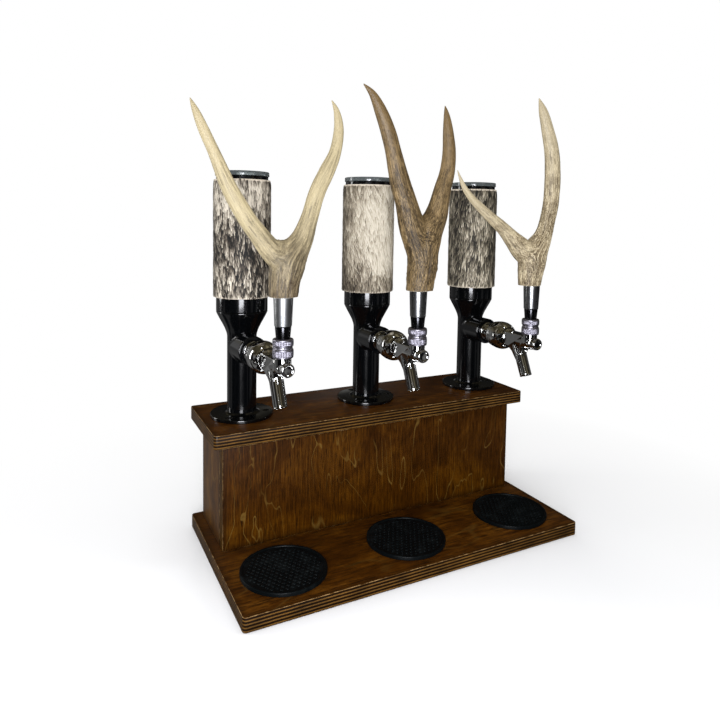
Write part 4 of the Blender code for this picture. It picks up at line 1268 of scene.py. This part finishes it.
def make_lights():
    """Upright window-like box behind the camera, and unreflected fills on the other sides."""
    area_light("key", (-0.555, -0.996, 0.35), (0.0, 0.07, 0.35), (0.40, 0.62), 17, (0.93, 0.945, 1.0))
    area_light("fill_left", (-1.9, 0.5, 1.1), (0, 0, 0.25), (0.9, 1.2), 7, reflected=False)
    area_light("fill_right", (1.7, -0.9, 1.0), (0, 0, 0.25), (0.7, 1.0), 9, reflected=False)
    area_light("back", (0.2, 1.9, 0.9), (0, 0.05, 0.4), (0.8, 1.2), 12, reflected=False)
    area_light("back_strip", (-1.45, 0.95, 0.60), (0, 0.05, 0.60), (0.30, 1.1), 7)
    area_light("top", (0.0, -0.2, 2.1), (0, 0, 0.2), (1.4, 0.9), 12, reflected=False)


# ---- build ------------------------------------------------------------------------
def speckled_base(angle, share):
    """Cream shoulder on the left, a dark belt below the middle, paler towards the foot."""
    shoulder = 0.26 * max(0.0, math.cos(angle - math.radians(-130))) * max(0.0, share - 0.35) / 0.4
    belt = math.exp(-((share - 0.42) / 0.20) ** 2)
    return 0.50 + shoulder - 0.24 * belt


def cream_base(angle, share):
    """Cream towards the front and right, brown round the left and near the foot."""
    facing = math.cos(angle - math.radians(-88))
    low = max(0.0, 1 - share / 0.30)
    return max(0.24, 0.41 + 0.43 * facing - 0.42 * low)


def grey_base(angle, share):
    return 0.38 + 0.07 * math.sin(3 * angle + 1.0) + 0.10 * max(0.0, 1 - share / 0.25)


HIDES = {
    1: {"base": speckled_base, "spots": 0.9, "streaks": 1.1, "strands": 5200, "length": (8, 14),
        "width": (1.2, 2.3), "lean": 0.02, "jitter": 0.15},
    2: {"base": cream_base, "spots": 0.5, "streaks": 0.5, "strands": 5600, "length": (10, 18),
        "width": (0.9, 1.8), "lean": 0.06, "jitter": 0.09},
    3: {"base": grey_base, "spots": 0.7, "streaks": 1.0, "strands": 5600, "length": (10, 18),
        "width": (0.9, 1.8), "lean": -0.04, "jitter": 0.13},
}
DARK_HAIR = ((0.12, (0.010, 0.009, 0.008)), (0.36, (0.070, 0.056, 0.042)), (0.60, (0.27, 0.235, 0.185)),
             (0.90, (0.62, 0.56, 0.46)))
CREAM_HAIR = ((0.12, (0.036, 0.027, 0.019)), (0.42, (0.16, 0.13, 0.090)), (0.70, (0.42, 0.37, 0.285)),
              (1.0, (0.60, 0.55, 0.45)))
GREY_HAIR = ((0.10, (0.010, 0.009, 0.007)), (0.36, (0.075, 0.062, 0.043)), (0.60, (0.27, 0.235, 0.170)),
             (0.90, (0.60, 0.54, 0.43)))


def main():
    bpy.context.scene.view_settings.view_transform = "Standard"
    make_floor()
    make_world()
    make_lights()
    make_camera()

    paint = black_paint()
    rubber_black = rubber()
    chrome_bright = chrome("polished_chrome")
    chrome_satin = chrome("satin_ferrule", (0.34, 0.345, 0.35), 0.34, 0.10)
    semi_bright = chrome("bright_ferrule", (0.30, 0.305, 0.31), 0.22, 0.10)
    ring_satin = chrome("satin_rings", (0.34, 0.325, 0.375), 0.40, 0.08)
    dark_chrome = chrome("dark_ferrule", (0.05, 0.05, 0.055), 0.16)
    steel = chrome("turned_steel", (0.55, 0.54, 0.53), 0.22, 0.12)
    screw_metal = chrome("black_zinc", (0.05, 0.05, 0.055), 0.3)
    leather = hide_leather()
    smoked = smoked_plastic()
    hairs = {1: hide_hair("hair_speckled", DARK_HAIR), 2: hide_hair("hair_cream", CREAM_HAIR),
             3: hide_hair("hair_grey", GREY_HAIR)}
    antlers = {
        1: antler_material("antler_ivory", (0.028, 0.017, 0.008), (0.070, 0.048, 0.024),
                           (0.17, 0.125, 0.068), (0.51, 0.425, 0.250), 0.05),
        2: antler_material("antler_brown", (0.024, 0.014, 0.005), (0.105, 0.067, 0.025),
                           (0.27, 0.185, 0.085), (0.175, 0.112, 0.046), 0.55),
        3: antler_material("antler_cream", (0.048, 0.028, 0.011), (0.235, 0.180, 0.100),
                           (0.60, 0.51, 0.34), (0.50, 0.42, 0.27), 0.40),
    }

    make_stand()
    for number in TAPS:
        make_mat(number, rubber_black)
        make_flange(number, paint, screw_metal)
        make_column(number, paint)
        make_reservoir(number, paint)
        make_sleeve(number, HIDES[number], hairs[number], leather)
        make_lid(number, smoked)
        make_shank(number, chrome_bright)
        make_coupling_nut(number, chrome_bright)
        make_faucet(number, chrome_bright)
        make_bonnet(number, ring_satin)
        make_handle_metal(number, ring_satin, chrome_satin if number == 1 else semi_bright,
                          dark_chrome, steel)
        make_antler(number, antlers[number])

    hidden = {"feed_tube": plain("milky_tube", (0.6, 0.6, 0.58), 0.35),
              "lid_gasket": plain("grey_silicone", (0.36, 0.36, 0.36), 0.5),
              "valve_shaft": steel}
    for prefix, material in hidden.items():
        for number in TAPS:
            mesh = frame["nodes"][f"{prefix}_{number}"].data
            mesh.materials.clear()
            mesh.materials.append(material)


main()
